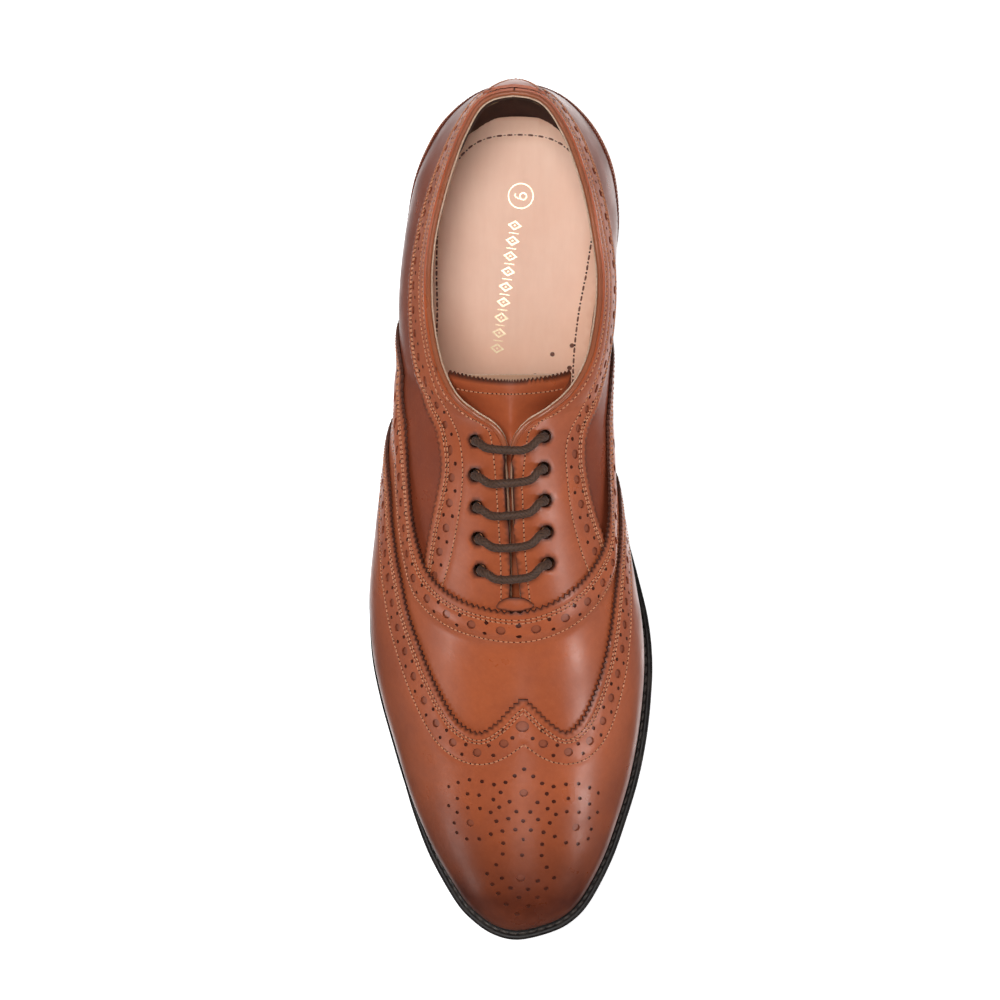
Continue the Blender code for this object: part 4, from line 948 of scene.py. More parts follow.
class Stitching:
    """Stitches of one object: short plump threads, and the needle's holes between them, dark with painted
    shade.
    """

    PROFILE = [(0.0, -0.22), (0.18, 0.10), (0.5, 0.17), (0.82, 0.10), (1.0, -0.22)]  # part, height
    THICKNESS = [0.55, 0.95, 1.0, 0.95, 0.55]
    SIDES = 6

    def __init__(self):
        self.verts, self.faces, self.shades, self.count = [], [], [], 0

    def row(self, line, level, shape=LAST, pitch=1.6, radius=0.24, share=0.80, hole=0.30, slant=0.0,
            keep=None):  # fmt: skip
        run = lengths(line)
        number = max(1, int(run[-1] / pitch))
        starts = np.arange(number) * run[-1] / number
        step = run[-1] / number
        middle = points_at(line, run, starts + step / 2)
        good = shape.covers(middle)
        if keep is not None:
            good &= keep(middle)
        starts = starts[good]
        if not len(starts):
            return
        gap = (1 - share) / 2
        across = np.array([-1, -0.5, 0, 0.5, 1.0]) * slant
        rings = []
        for (part, rise), shift in zip(self.PROFILE, across):
            stops = starts + step * (gap + share * part)
            ahead = unit(points_at(line, run, stops + 0.05) - points_at(line, run, stops - 0.05))
            flat = points_at(line, run, stops) + np.stack([ahead[:, 1], -ahead[:, 0]], axis=1) * shift
            base, normal = shape.surface(flat)
            rings.append((base + normal * (level(flat) + rise)[:, None], normal))
        centres = np.stack([r[0] for r in rings], axis=1)
        normals = np.stack([r[1] for r in rings], axis=1)
        beside = unit(np.cross(unit(centres[:, -1] - centres[:, 0])[:, None], normals))
        turn = np.arange(self.SIDES) * 2 * math.pi / self.SIDES
        thick = np.array(self.THICKNESS) * radius
        ring = beside[:, :, None] * np.cos(turn)[:, None] + normals[:, :, None] * np.sin(turn)[:, None]
        verts = centres[:, :, None] + ring * thick[None, :, None, None]
        self.verts.append(verts.reshape(-1, 3))
        rows, sides = len(self.PROFILE), self.SIDES
        own = []
        for r in range(rows - 1):
            for s in range(sides):
                t = (s + 1) % sides
                own.append((r * sides + s, (r + 1) * sides + s, (r + 1) * sides + t, r * sides + t))
        caps = [tuple(range(sides)), tuple(range(rows * sides - 1, (rows - 1) * sides - 1, -1))]
        for k in range(len(starts)):
            first = self.count + k * rows * sides
            self.faces += [tuple(v + first for v in face) for face in own + caps]
        self.shades += [0] * len(starts) * (len(own) + 2)
        self.count += len(starts) * rows * sides
        if hole:
            self.needle_holes(points_at(line, run, starts), level, shape, hole)

    def needle_holes(self, spots, level, shape, radius):
        base, normal = shape.surface(spots)
        lift = level(spots)
        turn = np.arange(6) * math.pi / 3
        for b, n, h in zip(base, normal, lift):
            side = unit(np.cross(n, (0.31, 0.94, 0.12)))
            other = np.cross(n, side)
            ring = [b + n * (h + 0.03) + (side * math.cos(a) + other * math.sin(a)) * radius for a in turn]
            self.verts.append(np.array([*ring, b + n * (h - 0.4)]))
            first = self.count
            self.faces.append(tuple(range(first, first + 6)))
            self.faces += [(first + (k + 1) % 6, first + k, first + 6) for k in range(6)]
            # The hole takes the dark needle look: painted shade.
            self.shades += [1] * 7
            self.count += 7

    def build(self, name, looks=("thread", "needle_shade")):
        return make_object(name, np.vstack(self.verts), self.faces, looks, self.shades)


def sweep(name, sections, looks, closed_path=False, attributes=None, sharp=40):
    """A closed skin through a row of closed sections, with flat ends unless the path is closed."""
    sections = np.asarray(sections)
    rows, sides = sections.shape[:2]
    faces = []
    for r in range(rows if closed_path else rows - 1):
        after = (r + 1) % rows
        for s in range(sides):
            t = (s + 1) % sides
            faces.append((r * sides + s, r * sides + t, after * sides + t, after * sides + s))
    if not closed_path:
        faces += [tuple(range(sides - 1, -1, -1)), tuple(range((rows - 1) * sides, rows * sides))]
    verts = sections.reshape(-1, 3)
    a, b, c = verts[faces[0][0]], verts[faces[0][1]], verts[faces[0][2]]
    outward = np.cross(b - a, c - a) @ (a - sections[0].mean(axis=0))
    if outward < 0:
        faces = [face[::-1] for face in faces]
    return make_object(name, verts, faces, looks, None, attributes, sharp)


# ---- the upper ----
BAND_HOLES_OUTER = [
    (-26.2, -29), (-23, -19.5), (-20.7, -11.3), (-17.8, -3.5), (-16.3, 5.3), (-15.4, 13.6), (-16.3, 22.2),
    (-19.8, 31.7), (-24.8, 39.7), (-28.6, 46.1), (-31.8, 53.5), (-33.9, 62), (-34.6, 78.6),
    (-33.2, 95), (-29.4, 109), (-24.2, 122), (-17, 134), (-7.3, 145), (5.2, 151),
]  # fmt: skip
BAND_HOLES_INNER = [
    (36.6, -21), (33, -11.4), (30.1, -4.7), (28.0, 3.3), (26.5, 11.9), (26.0, 20.4), (28.2, 29.6), (34, 38.0),
    (39.4, 46.5), (42.8, 56), (44.4, 66), (44.4, 80), (42.6, 95), (39.2, 109), (34.3, 122),
    (27.4, 134), (17.6, 145), (5.2, 151),
]  # fmt: skip
BIG_R, SMALL_R, POINT_R = 1.5, 0.66, 1.95  # of the punched holes
PUNCH_PITCH, PAIR_HALF = 8.9, 1.9
ROWS_IN = (2.1, 3.2)  # the double stitch row inside each pinked edge
LIFT, LIFT_NEAR, LIFT_FAR = 2.6, 6.4, 13.5  # of the vamp where it passes over the facings
LIFT_BESIDE = 1.3  # further down the sides, where only a quarter lies under it
PAST_TOE = [(OUT, -165), (-OUT, -165)]
PAST_HEEL_Y = 215.0
FROM_RIDGE = 2.2  # half the strip at the slit where a front line is cut away
SEAM_HALF = 0.2  # half the gap between pieces that meet edge to edge
SMOOTH_IN = 0.45  # a mesh line this far inside a pinked edge keeps the skin smooth
STITCH_SLANT = 0.10
TOE_DARK, FRONT_ZONE = (92, 50), (60, 60)  # how far in front of the middle, and over which length
FOOT_DARK, FOOT_DARK_MORE = 27, 14  # height of the burnish and painted shade over the welt, and how much more in front
BULGE_HEIGHT = 24
# How far the upper bulges over the welt on the outer side, and how far the sole's edge is hidden
# under it on each side, both by place along the foot
BULGE = [(-150, 0.0), (-122, 0.0), (-96, 1.0), (-45, 1.2), (-10, 0.5), (20, 0.0), (150, 0.0)]
TUCK = {-1: [(-150, 0), (-120, 0.2), (-96, 1.2), (-40, 1.2), (-10, 0.5), (60, 0.3), (92, 1.3), (150, 1.3)],
        +1: [(-150, 0), (78, 0), (98, 1.3), (150, 1.3)]}  # fmt: skip

WING_L, WING_R = smooth_curve(WING_OUTER), smooth_curve(WING_INNER)
THROAT_LINE = smooth_curve(THROAT)
BANDS = {-1: smooth_curve(BAND_OUTER), +1: smooth_curve(BAND_INNER)}


def wing_rows(distance):
    """A line inside the wing's edge, in its two halves, which meet under the point."""
    left, right = offset(WING_L, distance), offset(WING_R, distance)
    left = left[: np.argmax(left[:, 0] > WING_POINT_X) + 1]
    right = right[len(right) - np.argmax(right[::-1, 0] < WING_POINT_X) - 1:]
    for line, last, before in ((left, -1, -2), (right, 0, 1)):
        share = (WING_POINT_X - line[before, 0]) / (line[last, 0] - line[before, 0])
        line[last] = line[before] + (line[last] - line[before]) * share
    return left, right


def over_facings(points):
    """The vamp is laid over the facings, so it stands out near its edge."""
    far = np.clip((LIFT_FAR - distance_to(points, THROAT_LINE)) / (LIFT_FAR - LIFT_NEAR), 0, 1)
    beside = ramp(np.abs(points[:, 0] - 5), 37, 9)
    return (LIFT - (LIFT - LIFT_BESIDE) * smooth_step(beside)) * smooth_step(far)


def punch_band(panel, line, start, pitch=PUNCH_PITCH, keep=None):
    """Large holes along a line, and a pair of small ones across it between each two."""
    run = lengths(line)
    number = int((run[-1] - start) / pitch)
    ahead = directions(line)
    across = np.stack([ahead[:, 1], -ahead[:, 0]], axis=1)
    for k in range(2 * number + 1):
        spot, side = (points_at(rows, run, start + k * pitch / 2) for rows in (line, across))
        if not LAST.covers(spot[None])[0] or (keep is not None and not keep(spot)):
            continue
        if k % 2 == 0:
            panel.punch([spot], BIG_R)
        else:
            panel.punch([spot + side * PAIR_HALF, spot - side * PAIR_HALF], SMALL_R)


def over_feather(base):
    """Height of points of the last over the feather edge."""
    return base[:, 2] - tread_height(base[:, 1]) - FEATHER_LEVEL


def burnish_and_shade_from(base):
    """Darker towards the toe, as the polisher leaves it, and down at the welt: partly burnish, partly painted
    shade on the steep sides.
    """
    toe_part = ramp(-base[:, 1], *TOE_DARK) ** 2
    reach = FOOT_DARK + FOOT_DARK_MORE * ramp(-base[:, 1], *FRONT_ZONE)
    # Painted shade with some burnish, low on the steep sides over the welt.
    foot_part = np.clip(1 - over_feather(base) / reach, 0, 1) ** 1.05 * 0.92
    both = np.maximum(toe_part, foot_part) + 0.5 * np.minimum(toe_part, foot_part)
    return np.clip(both, 0, 1)


def ring_of(side, front, start_y, rear=()):
    """Ring of all behind a front line, on one side of the slit, up to the back seam or a rear line."""
    edge = slit_edge(side, start_y, 60.5 if len(rear) else PAST_HEEL_Y)
    own = front[(front[:, 0] - ridge_x(front[:, 1])) * side > FROM_RIDGE]
    if side > 0:
        own = own[::-1]
    rear = rear if len(rear) else [(side * OUT, PAST_HEEL_Y)]
    return np.vstack([own, edge, rear, [(side * OUT, own[0][1])]])


def over_welt(points):
    """The upper's outer side bulges over the welt."""
    base, _ = LAST.surface(points)
    along = np.interp(base[:, 1], *zip(*BULGE))
    return along * np.clip(1 - over_feather(base) / BULGE_HEIGHT, 0, 1) * (base[:, 0] < 0)


def tucked(outline):
    """The sole's edge as the upper covers it from above."""
    left, right = (np.interp(outline[:, 1], *zip(*TUCK[side])) for side in (-1, 1))
    amount = np.where(outline[:, 0] < 4, left, right)
    return inset(outline, amount)


def build_wing_cap(stitching):
    panel = Panel(OVERLAY, lift=over_welt)
    rows = [line for distance in (*ROWS_IN, 10.6) for line in wing_rows(distance)]
    panel.stitch_lines(*rows)
    holes_l, holes_r = wing_rows(6.4)
    panel.punch([(6.4, -72.3)], POINT_R)
    punch_band(panel, holes_l[::-1], 8.6, 9.6)
    punch_band(panel, holes_r, 8.4, 8.8)
    # the pair of small holes at each side of the point
    panel.punch([(3.4, -76.3), (9.4, -76.5), (0.2, -73.6), (12.3, -73.8)], SMALL_R)
    spin = np.array([[math.cos(MEDALLION_TURN), -math.sin(MEDALLION_TURN)],
                     [math.sin(MEDALLION_TURN), math.cos(MEDALLION_TURN)]])  # fmt: skip
    for table, radius in ((MEDALLION_BIG, 1.32), (MEDALLION_SMALL, 0.68)):
        for x, y in table:
            for sign in (1, -1) if x else (1,):
                spot = spin @ np.array([sign * x, y - MEDALLION_Y]) + (MEDALLION_X, MEDALLION_Y)
                panel.punch([spot], radius)
    ring = np.vstack([gimped(WING_L), gimped(WING_R)[1:], PAST_TOE])
    obj = panel.build("wing_cap_leather", [ring], spacing=1.25, smooth_edge=wing_rows(SMOOTH_IN),
                      burnish_and_shade=burnish_and_shade_from)  # fmt: skip
    settle(obj, "tan_leather", "wing_cap")
    for line in rows:
        stitching.row(line, panel.level, slant=STITCH_SLANT)


def build_vamp(stitching):
    panel = Panel(BASE, lift=over_facings)
    rows = [offset(THROAT_LINE, distance) for distance in (*ROWS_IN, 10.4)]
    panel.stitch_lines(*rows)
    centre = offset(THROAT_LINE, 5.9)
    middle = lengths(centre)[np.argmin(np.abs(centre - (0.8, -38.1)).sum(axis=1))]
    punch_band(panel, centre, middle % 9.6, 9.6)
    puff = smooth_curve(PUFF_EDGE)[::-1] + (0, SEAM_HALF)
    obj = panel.build("vamp_leather", [np.vstack([gimped(THROAT_LINE), puff])], spacing=1.4,
                      smooth_edge=[offset(THROAT_LINE, SMOOTH_IN)], burnish_and_shade=burnish_and_shade_from)  # fmt: skip
    settle(obj, "tan_leather", "vamp")
    wing = np.vstack([WING_L, WING_R, PAST_TOE])
    for line in rows:
        stitching.row(line, panel.level, slant=STITCH_SLANT, keep=lambda p: ~in_ring(p, wing))


def build_quarter(side, name, stitching):
    front = offset(THROAT_LINE, UNDERLAP)
    ring = ring_of(side, front, -36.0)
    eyelets = [circle(spot, EYELET_HOLE_R, 20) for spot in eyelet_spots(side)]
    quarter = Panel(BASE)
    obj = quarter.build(f"quarter_{name}_leather", [ring, *eyelets], ("calf_deep_and_shaded", "edge", "flesh", "hole"),
                        spacing=2.4, burnish_and_shade=burnish_and_shade_from)  # fmt: skip
    settle(obj, "tan_leather", f"quarter_{name}")

    band = BANDS[side]
    band = band[in_ring(band, ring)]
    facing = Panel(OVERLAY)
    rows = [offset(band, -side * distance) for distance in ROWS_IN]
    inner = smooth_curve(BAND_ROW_OUTER if side < 0 else BAND_ROW_INNER)
    slit_y = np.arange(-31.0, 12.0, 3.0)
    slit_row = np.column_stack([ridge_x(slit_y) + side * (eased(SLIT_HALF, slit_y)[:, 0] + 2.5), slit_y])
    rim_row = topline(side, 2.5, FRONT_ENDS + 0.035)[::6]
    rim_row = smooth_curve(np.vstack([slit_row, rim_row]))
    facing.stitch_lines(*rows, inner, rim_row)
    holes = smooth_curve(BAND_HOLES_OUTER if side < 0 else BAND_HOLES_INNER)
    punch_band(facing, holes, 1.0, 8.6, keep=lambda spot: spot[1] < 149)
    beside = (front[:, 0] - MIDDLE_X) * side > FROM_RIDGE
    own = front[beside & (np.abs(front[:, 0]) < abs(band[0][0]) - 0.5)]
    if side > 0:
        own = own[::-1]
    edge = slit_edge(side, -36.0, 150.0)
    border = gimped(band, side=-side)[::-1]
    outline = np.vstack([own, edge, [(5.2 + side * 0.2, 156.9)], border[1:]])
    obj = facing.build(f"facing_{name}_leather", [outline, *eyelets], spacing=1.3,
                       smooth_edge=[offset(band, -side * SMOOTH_IN)], burnish_and_shade=burnish_and_shade_from)  # fmt: skip
    settle(obj, "tan_leather", f"facing_{name}")
    vamp = np.vstack([THROAT_LINE, PAST_TOE])
    for line in (*rows, inner, rim_row):
        stitching.row(line, facing.level, slant=STITCH_SLANT, keep=lambda p: ~in_ring(p, vamp))


def build_back(stitching):
    """The counter's cover, whose top edge is the same on both sides, and the strip over the seam."""
    half = [(0.72, -0.2), (0.745, 0.0), (0.79, 0.14), (0.87, 0.21), (0.95, 0.25)]
    places = [(-1, *spot) for spot in half] + [(1, 1.0, 0.26)] + [(1, *spot) for spot in half[::-1]]
    line = smooth_curve([pattern_at(*spot) for spot in places])
    cover = Panel(COUNTER)
    rows = [offset(line, -distance) for distance in (*ROWS_IN, 10.0)]
    cover.stitch_lines(*rows)
    punch_band(cover, offset(line, -6.0), 4.0)
    ring = np.vstack([gimped(line, side=-1), [(OUT, PAST_HEEL_Y), (-OUT, PAST_HEEL_Y)]])
    obj = cover.build("heel_counter_leather", [ring], ("calf", "calf_deep_and_shaded", "flesh", "hole"),
                      smooth_edge=[offset(line, -SMOOTH_IN)], burnish_and_shade=burnish_and_shade_from, rim_ink_and_shade=0.2)  # fmt: skip
    settle(obj, "tan_leather", "heel_counter_cover")
    for row in rows:
        stitching.row(row, cover.level, slant=STITCH_SLANT)
    corners = [(-2.8, 130), (13.2, 130), (12.4, 146), (9.2, 155), (5.2, 157.4), (1.2, 155), (-2.0, 146)]
    strip_line = smooth_curve(corners[1:] + corners[:1], step=0.8)
    strip = Panel(STRIP)
    border = resample(strip_line, 60)
    seam = offset(border, -1.5)
    strip.stitch_lines(seam)
    obj = strip.build("back_strip_leather", [border], spacing=1.1, burnish_and_shade=burnish_and_shade_from)
    settle(obj, "tan_leather", "back_strip")
    stitching.row(seam, strip.level)


TAB_AT = (4.8, -29.2)


def build_throat_tab():
    outline = [
        (-1.3, -30.3), (1.6, -31.2), (4.8, -31.7), (8, -31.2), (10.9, -30.1), (10.2, -28.4), (7.6, -26.9),
        (4.8, -26.5), (2, -26.9), (-0.6, -28.4),
    ]  # fmt: skip

    def crowned(points):
        return 0.5 * np.clip(1 - np.abs(points[:, 1] - TAB_AT[1]) / 2.6, 0, 1)

    tab = Panel(TAB, lift=crowned)
    ring = (smooth_curve(outline, closed=True, step=0.5) - TAB_AT) * (0.80, 0.85) + TAB_AT
    obj = tab.build("throat_tab_leather", [ring], spacing=0.8, burnish_and_shade=burnish_and_shade_from)
    settle(obj, "tan_leather", "throat_tab")


# ---- linings and the edge of the mouth ----
SOCK_MARGIN, SOCK_MIDDLE, SOCK_END = 1.7, 4.0, 136.6
LINING_OPENS = 1.35  # outward at the mouth
SOCK_SHORT = 5.8  # inward over the sock at the heel
HEEL_ZONE, HEEL_ZONE_HEIGHT = (112, 26), 28.0  # where it does so
MOUTH_ZONE = 8.0  # where the lining opens out and thins
LINING_LOOKS = ("lining", "lining_edge", "lining", "lining")
GRIP_PLACE = 0.90  # of the seam between the quarter linings and the heel grip


def near_mouth(points):
    """1 at the edge of the mouth, and down to 0 at the end of its zone."""
    return smooth_step(np.clip(1 - distance_to(points, LAST.mouth_line) / MOUTH_ZONE, 0, 1))


def opened(points):
    """How far the lining stands out at the mouth, and in over the sock at the heel."""
    base, _ = LAST.surface(points)
    back = smooth_step(ramp(base[:, 1], *HEEL_ZONE))
    height = base[:, 2] - tread_height(base[:, 1]) - SOCK_TOP
    foot = np.clip(1 - height / HEEL_ZONE_HEIGHT, 0, 1)
    return LINING_OPENS * near_mouth(points) - SOCK_SHORT * back * foot**1.6


def thinned(points):
    """The lining's inner face: it is thinner at the mouth, where its edge is skived."""
    return 0.45 * near_mouth(points)


def sock_ring(more=0.0):
    """Outline of the sock, or a line inside it; its end at the heel is flatter than the insole's."""
    ring = inset(FEATHER, more - SOCK_MARGIN)
    across = ring[:, 0] - SOCK_MIDDLE
    end = SOCK_END - 1.24 * more - 0.0075 * across**2 - 0.00003 * across**4
    ring[:, 1] = np.minimum(ring[:, 1], end)
    return ring


def build_linings():
    seam = smooth_curve(LINING_SEAM)
    ring = np.vstack([seam - (0, SEAM_HALF), PAST_TOE])
    front = Panel(LINING).build("vamp_lining_leather", [ring], LINING_LOOKS, 3.0)
    settle(front, "lining_leather", "vamp_lining")
    grip_ends = []
    for side, name in SIDES:
        ends = np.array([pattern_at(side, GRIP_PLACE, height) for height in (1.2, -0.2)])
        grip_ends.append(ends)
        rear = ends - (0, SEAM_HALF)
        ring = ring_of(side, seam + (0, SEAM_HALF), -34.5, [*rear, (side * OUT, rear[1][1])])
        eyelets = [circle(spot, EYELET_HOLE_R, 16) for spot in eyelet_spots(side)]
        panel = Panel((thinned, 1.0), lift=opened)
        obj = panel.build(f"quarter_lining_{name}_leather", [ring, *eyelets], LINING_LOOKS, 2.6)
        settle(obj, "lining_leather", f"quarter_lining_{name}")
    lateral, medial = grip_ends
    ring = np.vstack([lateral, [(-80, PAST_HEEL_Y), (90, PAST_HEEL_Y)], medial[::-1]]) + (0, SEAM_HALF)
    grip = Panel((thinned, 1.0), lift=opened)
    obj = grip.build("heel_grip_suede", [ring], ("suede", "lining_edge", "suede", "suede"), 2.6)
    settle(obj, "dark_lining", "heel_grip")


def mouth_path(start=FRONT_ENDS + 0.012, count=170):
    """Along the edge of the mouth from one front corner to the other: points, up and out."""
    places = np.linspace(start, 1.0, count)
    tops, ups, outs = [], [], []
    for side in (-1, 1):
        last, _ = last_side(side, places, [0.97, 1.0])
        top, up = last[:, 1], unit(last[:, 1] - last[:, 0])
        out = unit(np.cross(np.gradient(top, axis=0), up) * side)
        order = slice(None) if side < 0 else slice(-2, None, -1)
        tops.append(top[order])
        ups.append(up[order])
        outs.append(out[order])
    return np.vstack(tops), np.vstack(ups), np.vstack(outs)


def build_mouth_edge():
    """The folded binding that closes the mouth, and the pale cut edge of the lining inside it."""
    top, up, out = mouth_path()
    ends = np.minimum(np.arange(len(top)), np.arange(len(top))[::-1]) / 9.0
    grow = np.clip(ends, 0, 1)[:, None, None] ** 0.5
    bead = [(2.42, 0.2), (3.95, 0.1), (3.95, 1.0), (3.8, 1.6), (3.45, 2.0), (3.05, 2.05), (2.65, 1.8),
            (2.42, 1.3), (2.38, 0.8)]  # fmt: skip
    wobble = 0.05 * np.sin(np.arange(len(top)) * 0.55)[:, None, None]

    def sections(profile):
        o, u = (np.array([p[k] for p in profile])[None, :, None] for k in (0, 1))
        return top[:, None] + out[:, None] * o + up[:, None] * (0.1 + (u - 0.1) * grow + wobble * (u > 1))

    obj = sweep("topline_bead", sections(bead), ["bead"])
    settle(obj, "tan_leather", "topline_binding")
    trimmed = [(1.80, -0.3), (2.34, -0.3), (2.36, 1.25), (2.25, 1.55), (1.92, 1.5), (1.78, 1.2)]
    edge = sweep("lining_edge", sections(trimmed), ["lining_edge"])
    settle(edge, "lining_leather")


# ---- the tongue ----
TONGUE_LEVEL = -5.8
TONGUE_FROM, TONGUE_RISES_AT, TONGUE_TO = -37.0, 21.5, 43.2
TONGUE_HALF = [(-37, 15.0), (-15, 18.5), (19, 21.0)]
TONGUE_SLOPE = 0.33
TONGUE_SPREADS = (0.42, 0.60)  # its free end flattens out and is wider
TONGUE_FLATTENS = (9, 12)  # from where it rises, and over which length
TONGUE_SMOOTHING = 25  # passes, which round off the ridge as the CAD solid does


def tongue_sheet():
    """The tongue's surface: under the facings it follows the last, and its free end runs on flatter."""
    along = np.linspace(TONGUE_FROM, TONGUE_TO, 70)
    across = np.linspace(-1, 1, 41)
    grid = []
    for y in along:
        under = min(y, TONGUE_RISES_AT)
        beyond = y - under
        half = eased(TONGUE_HALF, under)[0, 0]
        spots = np.column_stack([ridge_x(under)[0] + across * half, np.full(len(across), under)])
        row = LAST.place(spots, TONGUE_LEVEL)
        for _ in range(TONGUE_SMOOTHING):
            row[1:-1] = (row[:-2] + 2 * row[1:-1] + row[2:]) / 4
        spread = smooth_step(ramp(beyond, *TONGUE_FLATTENS))
        middle = row[len(across) // 2].copy()
        wider = np.where(across > 0, TONGUE_SPREADS[1], TONGUE_SPREADS[0])
        row[:, 0] = middle[0] + (row[:, 0] - middle[0]) * (1 + wider * spread)
        row[:, 2] = middle[2] + (row[:, 2] - middle[2]) * (1 - 0.5 * spread)
        row[:, 1] = middle[1] + beyond + 0.16 * beyond * across**2
        row[:, 2] += beyond * (TONGUE_SLOPE - 0.10 * across**2)
        grid.append(row)
    return Sheet(across * TONGUE_HALF[-1][1], along, np.array(grid))


def build_tongue(stitching):
    sheet = tongue_sheet()
    half, end = TONGUE_HALF[-1][1], TONGUE_TO
    top_edge = gimped(np.array([(half, end - 1.0), (-half, end - 1.0)]), 1.25, 1.0, side=-1)
    ring = np.vstack([[(-half, TONGUE_FROM), (half, TONGUE_FROM)], top_edge])
    panel = Panel((0.0, 1.2), sheet)
    row = np.array([(-half + 1, end - 4.8), (half - 1, end - 4.8)])
    panel.stitch_lines(row)
    obj = panel.build("tongue_leather", [ring], spacing=1.3)
    settle(obj, "tan_leather", "tongue", body="tongue")
    stitching.row(resample(row, 60), panel.level, sheet)
    back = Panel((-1.4, -0.4), sheet)
    ring = np.array([(-half, TONGUE_FROM), (half, TONGUE_FROM), (half, end - 2.0), (-half, end - 2.0)])
    obj = back.build("tongue_lining_leather", [ring], LINING_LOOKS, 2.4)
    settle(obj, "lining_leather", "tongue_lining", body="tongue")


# ---- inside: the sock with its size mark, stitches and vent holes ----
MARK_AT, MARK_R, MARK_TURN = (5.1, 109.2), 4.5, math.radians(-98.2)
ORNAMENT_FROM, ORNAMENT_TO = (3.0, 99.0), (-3.3, 56.5)
VENTS = [(15.9, 54.4), (22.7, 57.4), (21.8, 49.7), (9.8, 47.0)]
ORNAMENT_COUNT = 9
FOIL_T = 0.08


def sock_cup(points):
    """The sock rises a little at its edge, where it meets the lining."""
    near = distance_to(points, sock_ring())
    return 1.6 * np.clip(1 - near / 6.0, 0, 1) ** 2


def build_sock():
    ground = Ground(SOCK_TOP)
    panel = Panel((-SOCK_T, 0.0), ground, lift=sock_cup)
    ring = resample(joined(sock_ring()), 500)[:-1]
    stitch_line = joined(sock_ring(5.0))
    panel.GROOVE = 0.25
    panel.stitch_lines(stitch_line)
    panel.punch(VENTS, 0.85)
    obj = panel.build("sock_leather", [ring], ("sock", "lining_edge", "sock", "sock_thread"), 2.2)
    settle(obj, "lining_leather", "sock_lining")
    stitching = Stitching()
    stitching.row(stitch_line, panel.level, ground, pitch=3.6, radius=0.34, share=0.55, hole=0.42)
    settle(stitching.build("sock_stitching", ("sock_thread", "needle_shade")), "lining_leather")

    def turned(points):
        c, s = math.cos(MARK_TURN), math.sin(MARK_TURN)
        return np.asarray(points) @ np.array([[c, s], [-s, c]])

    def lozenge(long, wide):
        return np.array([(-long, 0), (0, -wide), (long, 0), (0, wide)], float)

    def stroke(line, half):
        return np.vstack([offset(line, half), offset(line, -half)[::-1]])

    rings = [circle(MARK_AT, MARK_R, 64), circle(MARK_AT, MARK_R - 0.42, 64)]
    rings += [turned(circle((0.0, 0.85), radius, 28)) + MARK_AT for radius in (1.40, 0.92)]
    run = np.array(ORNAMENT_TO) - ORNAMENT_FROM
    for k in range(ORNAMENT_COUNT):
        spot = np.array(ORNAMENT_FROM) + run * k / (ORNAMENT_COUNT - 1)
        shapes = (lozenge(1.75, 2.5), lozenge(1.05, 1.6), circle((0, 0), 0.35, 10))
        rings += [turned(shape) + spot for shape in shapes]
        if k < ORNAMENT_COUNT - 1:
            step = np.linalg.norm(run) / (ORNAMENT_COUNT - 1) / 2
            bar = np.array([(step - 0.16, -1.7), (step + 0.16, -1.7), (step + 0.16, 1.7), (step - 0.16, 1.7)])
            rings.append(turned(bar) + spot)
    turn = np.radians(np.linspace(8, -96, 16))
    tail = np.column_stack([np.cos(turn) * 1.16, 0.85 + np.sin(turn) * 2.9])
    tail = np.vstack([tail, [(-0.65, -1.85)]])
    tail = turned(stroke(tail, 0.22)) + MARK_AT
    for name, parts, lift in (("foil_mark", rings, 0.0), ("foil_tail", [tail], 0.01)):
        foil = Panel((lift, FOIL_T + lift), ground)
        foil.EDGE_DROP = 0.0
        settle(foil.build(name, parts, ("foil",) * 4), "nail_brass")


# ---- the bottom ----
def ringed(outline, profile, rise):
    """Sections across an outline: profile rows are (inset, height); rise is the height under them."""
    rows = []
    for distance, height in profile:
        line = inset(outline, distance(outline) if callable(distance) else distance)
        rows.append(np.column_stack([line, rise(line) + height]))
    return np.stack(rows, axis=1)


def band_faces(count, rows):
    """Faces all round an outline, between the rows of its sections."""
    faces = []
    for k in range(count):
        after = (k + 1) % count
        for r in range(rows - 1):
            faces.append((k * rows + r, k * rows + r + 1, after * rows + r + 1, after * rows + r))
    return faces


def plate(name, outline, profile, rise, looks, spacing=3.0):
    """A solid plate with a shaped edge: the profile runs from its top edge to its bottom edge."""
    sections = ringed(outline, profile, rise)
    rows = sections.shape[1]
    count = len(outline)
    verts, faces = [sections.reshape(-1, 3)], band_faces(count, rows)
    shades = [0] * len(faces)
    total = count * rows
    for r, flip in ((0, False), (rows - 1, True)):
        ring = sections[:, r, :2]
        flat, tris = triangulate(Ground(0.0), [ring], [], spacing)
        z = rise(flat) + profile[r][1]
        verts.append(np.column_stack([flat, z]))
        tris = tris[:, ::-1] if flip else tris
        faces += (tris + total).tolist()
        shades += [1] * len(tris)
        total += len(flat)
    obj = make_object(name, np.vstack(verts), faces, looks, shades)
    weld(obj)
    return obj


def weld(obj, within=0.004):
    mesh = bmesh.new()
    mesh.from_mesh(obj.data)
    bmesh.ops.remove_doubles(mesh, verts=mesh.verts, dist=within * MM)
    bmesh.ops.recalc_face_normals(mesh, faces=mesh.faces)
    mesh.to_mesh(obj.data)
    mesh.free()


def tread_of(points):
    """Height of the tread under pattern or ground points."""
    return tread_height(points[:, 1])


def feather_width(outline):
    """How far the feather edge lies inside the sole's edge."""
    return eased(FEATHER_INSET, outline[:, 1])[:, 0]


